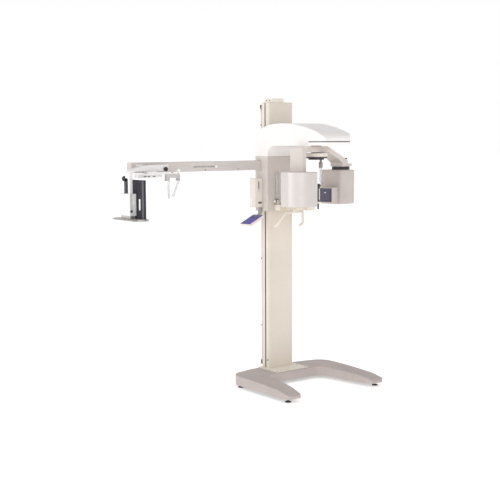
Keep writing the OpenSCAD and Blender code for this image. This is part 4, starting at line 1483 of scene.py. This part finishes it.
@dataclass
class SideArm:
    """The cephalometric arm: neck, box, cassette holder and ear rods."""

    neck_front: float = 290.0
    neck_back: float = 350.0

    def build(self) -> None:
        """Make every piece of the side arm."""
        soft_node("ceph_arm", ARM_COAT, 4.0, 4, 0.5)
        soft_node("ceph_slide_knob", KNOB_WHITE, 1.0, 3, 0, lambda middle: True)
        soft_node("swan_neck", NECK_COAT, 3.0, 4, 1.6, self.on_neck_side)
        self.fixings()
        self.trims()
        soft_node("ceph_box", BOX_WHITE, 4.0, 4, 0.5)
        self.lever()
        self.cassette()
        self.ear_parts()

    def on_neck_side(self, middle: Vector) -> bool:
        """Pick the long edges on the neck's front and rear faces.

        Args:
            middle: the middle of an edge, in metres.

        Returns:
            True for an edge to round.
        """
        y = middle.y / MM
        return min(abs(y - self.neck_front), abs(y - self.neck_back)) < 0.5

    def fixings(self) -> None:
        """Add the black clamp knob on the neck, the arm's screw and the box's pointer."""
        knob = [(0, 0), (13, 0), (15, 2), (15, 10), (13.5, 12), (0, 12.5)]
        spin = Solid.lathe(knob, (0, 0, 0), "Y", 44).turned(Matrix.Rotation(math.pi, 4, "Z"))
        spin.turned(Matrix.Translation((-1010 * MM, self.neck_front * MM, 1582 * MM)))
        put("neck_clamp_knob", spin, "carriage", DARK_GLOSS)
        screws("arm_screws", [(-644.0, 350.0, 1569.0), (-360.0, 350.0, 1569.0)], "-Y", "carriage", 5.0)
        grip = [(0, 0), (9, 0), (9, 5), (7.5, 7), (0, 7)]
        dial = Solid.lathe(grip, (0, 0, 0), "Y", 36).turned(Matrix.Rotation(math.pi, 4, "Z"))
        dial.turned(Matrix.Translation((-1279 * MM, 290 * MM, 1308 * MM)))
        put("box_pointer_knob", dial, "carriage", DARK_ABS)

    def trims(self) -> None:
        """Line the arm's slot, and add its end window, the box's strap and the rail's stops."""
        liner = Solid.box((-746, 361, 1584), (-548, 362, 1598)).soften(0.3, 2)
        put("slot_liner", liner, "carriage", NECK_COAT)
        window = Solid.prism(round_rect((-1205, 1604), (-1150, 1614), 4.5, 6), 349.2, 350.4, "Y")
        put("arm_end_window", window, "carriage", LABEL_WHITE)
        strap = Solid.box((-1288, 286.5, 1306), (-1272, 290.2, 1424)).soften(1.2, 3)
        put("box_front_strap", strap, "carriage", ARM_COAT)
        stops = [(-1190.0, 255.6, 1536.0), (-1160.0, 255.6, 1536.0), (-1120.0, 255.6, 1536.0)]
        repeat("rail_stops", Unit.BOX, stops, (20, 1.4, 5.0), "carriage", DARK_ABS, edge=0.3)

    def lever(self) -> None:
        """Turn the lever's steel rod and its dark ball."""
        x, y, z = -1274.0, 380.0, 1412.0
        rod = Solid.lathe([(0, 0), (4, 0), (4, 96), (0, 96)], (x, y, z), steps=28)
        pin = Solid.lathe([(0, -13), (3, -13), (3, 13), (0, 13)], (x, y, z), "X", 24)
        hub = Solid.lathe([(0, -7.5), (6, -7.5), (6, 7.5), (0, 7.5)], (x, y, z), "X", 28)
        stand_in("box_lever", Solid.together([rod, pin, hub]), STEEL_DARK, "lever_rod")
        put("lever_ball", Solid.ball((x, y, z + 110), 19), "box_lever", DARK_GLOSS)

    def cassette(self) -> None:
        """Make the cassette holder with its lighter rim and blank label, and the tray."""
        soft_node("cassette_holder", HOLDER_DARK, 2.0, 3, 0.5)
        rim = Solid.box((-1239.9, 193.6, 1262), (-1239.1, 216, 1513)).soften(0.2, 2)
        put("holder_rim", rim, "cassette_holder", HOLDER_RIM)
        label = Solid.box((-1239.9, 238, 1316), (-1239.1, 256, 1390)).soften(0.2, 2)
        put("holder_label", label, "cassette_holder", LABEL_WHITE)
        soft_node("cassette_tray", BRUSHED, 1.4, 3, 0.5)

    def ear_parts(self) -> None:
        """Make the rail with its scale marks, the hub, both ear rods and the nasion support."""
        soft_node("ear_rail", NECK_COAT, 1.6, 3, 0.4)
        points = [(-1230.0 + 11.0 * k, 255.7, 1541.0) for k in range(16)]
        repeat("rail_scale_marks", Unit.BOX, points, (1.4, 1.0, 9.0), "carriage", TRIM_DARK,
               edge=0.15)
        soft_node("ear_hub", HUB_PALE, 2.0, 3, 0.5)
        for node in ("ear_rod_left", "ear_rod_right"):
            soft_node(node, ACRYLIC, 0.9, 2, 0, lambda middle: True)
        soft_node("nasion_support", KNOB_WHITE, 1.2, 3, 0, lambda middle: True)


@dataclass
class Studio:
    """A pale floor, soft lights and the camera."""

    place: Point = (-4.7043, -5.6264, 1.760)
    azimuth: float = -36.64
    pitch: float = 5.977
    roll: float = -0.265
    lens: float = 74.2
    floor_half: float = 90.0
    floor_glow: float = 0.42
    zenith: float = 0.68
    aim: Point = (-0.2, 0.1, 1.1)
    key_place: Point = (-7.0, 0.5, 3.2)
    key_side: float = 4.0
    key_watts: float = 105.0
    front_place: Point = (-2.6, -7.5, 2.8)
    front_side: float = 2.6
    front_watts: float = 45.0

    def build(self) -> None:
        """Make the camera, the floor, the lights and the sky."""
        self.camera()
        self.floor()
        self.light("key_light", self.key_place, self.key_side, self.key_watts)
        self.light("front_light", self.front_place, self.front_side, self.front_watts)
        self.sky()
        bpy.context.scene.view_settings.view_transform = "Standard"

    def sky(self) -> None:
        """Make a sky that is white round the horizon and dimmer overhead, as a lit cove is."""
        world = bpy.data.worlds.new("studio_sky")
        world.use_nodes = True
        tree = world.node_tree
        way = add_node(tree, "ShaderNodeTexCoord").outputs["Generated"]
        height = add_node(tree, "ShaderNodeSeparateXYZ", {"Vector": way}).outputs["Z"]
        glow = add_node(
            tree,
            "ShaderNodeMapRange",
            {"Value": height, "From Min": 0.12, "From Max": 0.55, "To Min": 1.0, "To Max": self.zenith},
        )
        sky = tree.nodes["Background"]
        sky.inputs["Color"].default_value = (1.0, 1.0, 1.0, 1.0)
        tree.links.new(glow.outputs[0], sky.inputs["Strength"])
        bpy.context.scene.world = world

    def camera(self) -> None:
        """Stand the camera at the viewing angle."""
        data = bpy.data.cameras.new("camera")
        data.lens = self.lens
        data.sensor_width = 36.0
        data.clip_end = 200.0
        cam = bpy.data.objects.new("camera", data)
        a, e, r = (math.radians(v) for v in (self.azimuth, self.pitch, self.roll))
        back = Vector((math.sin(a) * math.cos(e), -math.cos(a) * math.cos(e), math.sin(e)))
        right = Vector((math.cos(a), math.sin(a), 0.0))
        up = back.cross(right)
        across = right * math.cos(r) + up * math.sin(r)
        above = up * math.cos(r) - right * math.sin(r)
        turn = Matrix((across, above, back)).transposed().to_4x4()
        cam.matrix_world = Matrix.Translation(self.place) @ turn
        bpy.context.scene.collection.objects.link(cam)
        bpy.context.scene.camera = cam

    def floor(self) -> None:
        """Lay the pale floor, which the sky's white meets."""
        bm = bmesh.new()
        bmesh.ops.create_grid(bm, x_segments=1, y_segments=1, size=self.floor_half)
        mesh = bpy.data.meshes.new("studio_floor")
        bm.to_mesh(mesh)
        bm.free()
        paint = Finish("pale_studio_floor", "#fbfbfb", "#f8f8f8", 0.8, relief=0.0, wear=0.0).build()
        shader = next(n for n in paint.node_tree.nodes if n.type == "BSDF_PRINCIPLED")
        shader.inputs["Emission Color"].default_value = (1.0, 1.0, 1.0, 1.0)
        shader.inputs["Emission Strength"].default_value = self.floor_glow
        mesh.materials.append(paint)
        obj = bpy.data.objects.new("studio_floor", mesh)
        bpy.context.scene.collection.objects.link(obj)

    def light(self, name: str, place: Point, size: float, power: float) -> None:
        """Hang one soft square light that faces the object.

        Args:
            name: its name.
            place: where, in metres.
            size: the side of the square in metres.
            power: in watts.
        """
        data = bpy.data.lights.new(name, "AREA")
        data.size = size
        data.energy = power
        lamp = bpy.data.objects.new(name, data)
        lamp.location = place
        aim = Vector(self.aim) - Vector(place)
        lamp.rotation_mode = "QUATERNION"
        lamp.rotation_quaternion = aim.to_track_quat("-Z", "Y")
        bpy.context.scene.collection.objects.link(lamp)


def main() -> None:
    """Build the machine's pieces round the frame, in order."""
    logging.basicConfig(level=logging.INFO, format="%(name)s: %(message)s")
    for left_over in list(bpy.data.objects):
        bpy.data.objects.remove(left_over)
    FRAME.update(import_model())
    for part in (Studio(), Base(), Column(), Carriage(), PatientSupport(), Controls(), Rotor(), SideArm()):
        LOG.info("building %s", type(part).__name__)
        part.build()


if __name__ == "__main__":
    main()
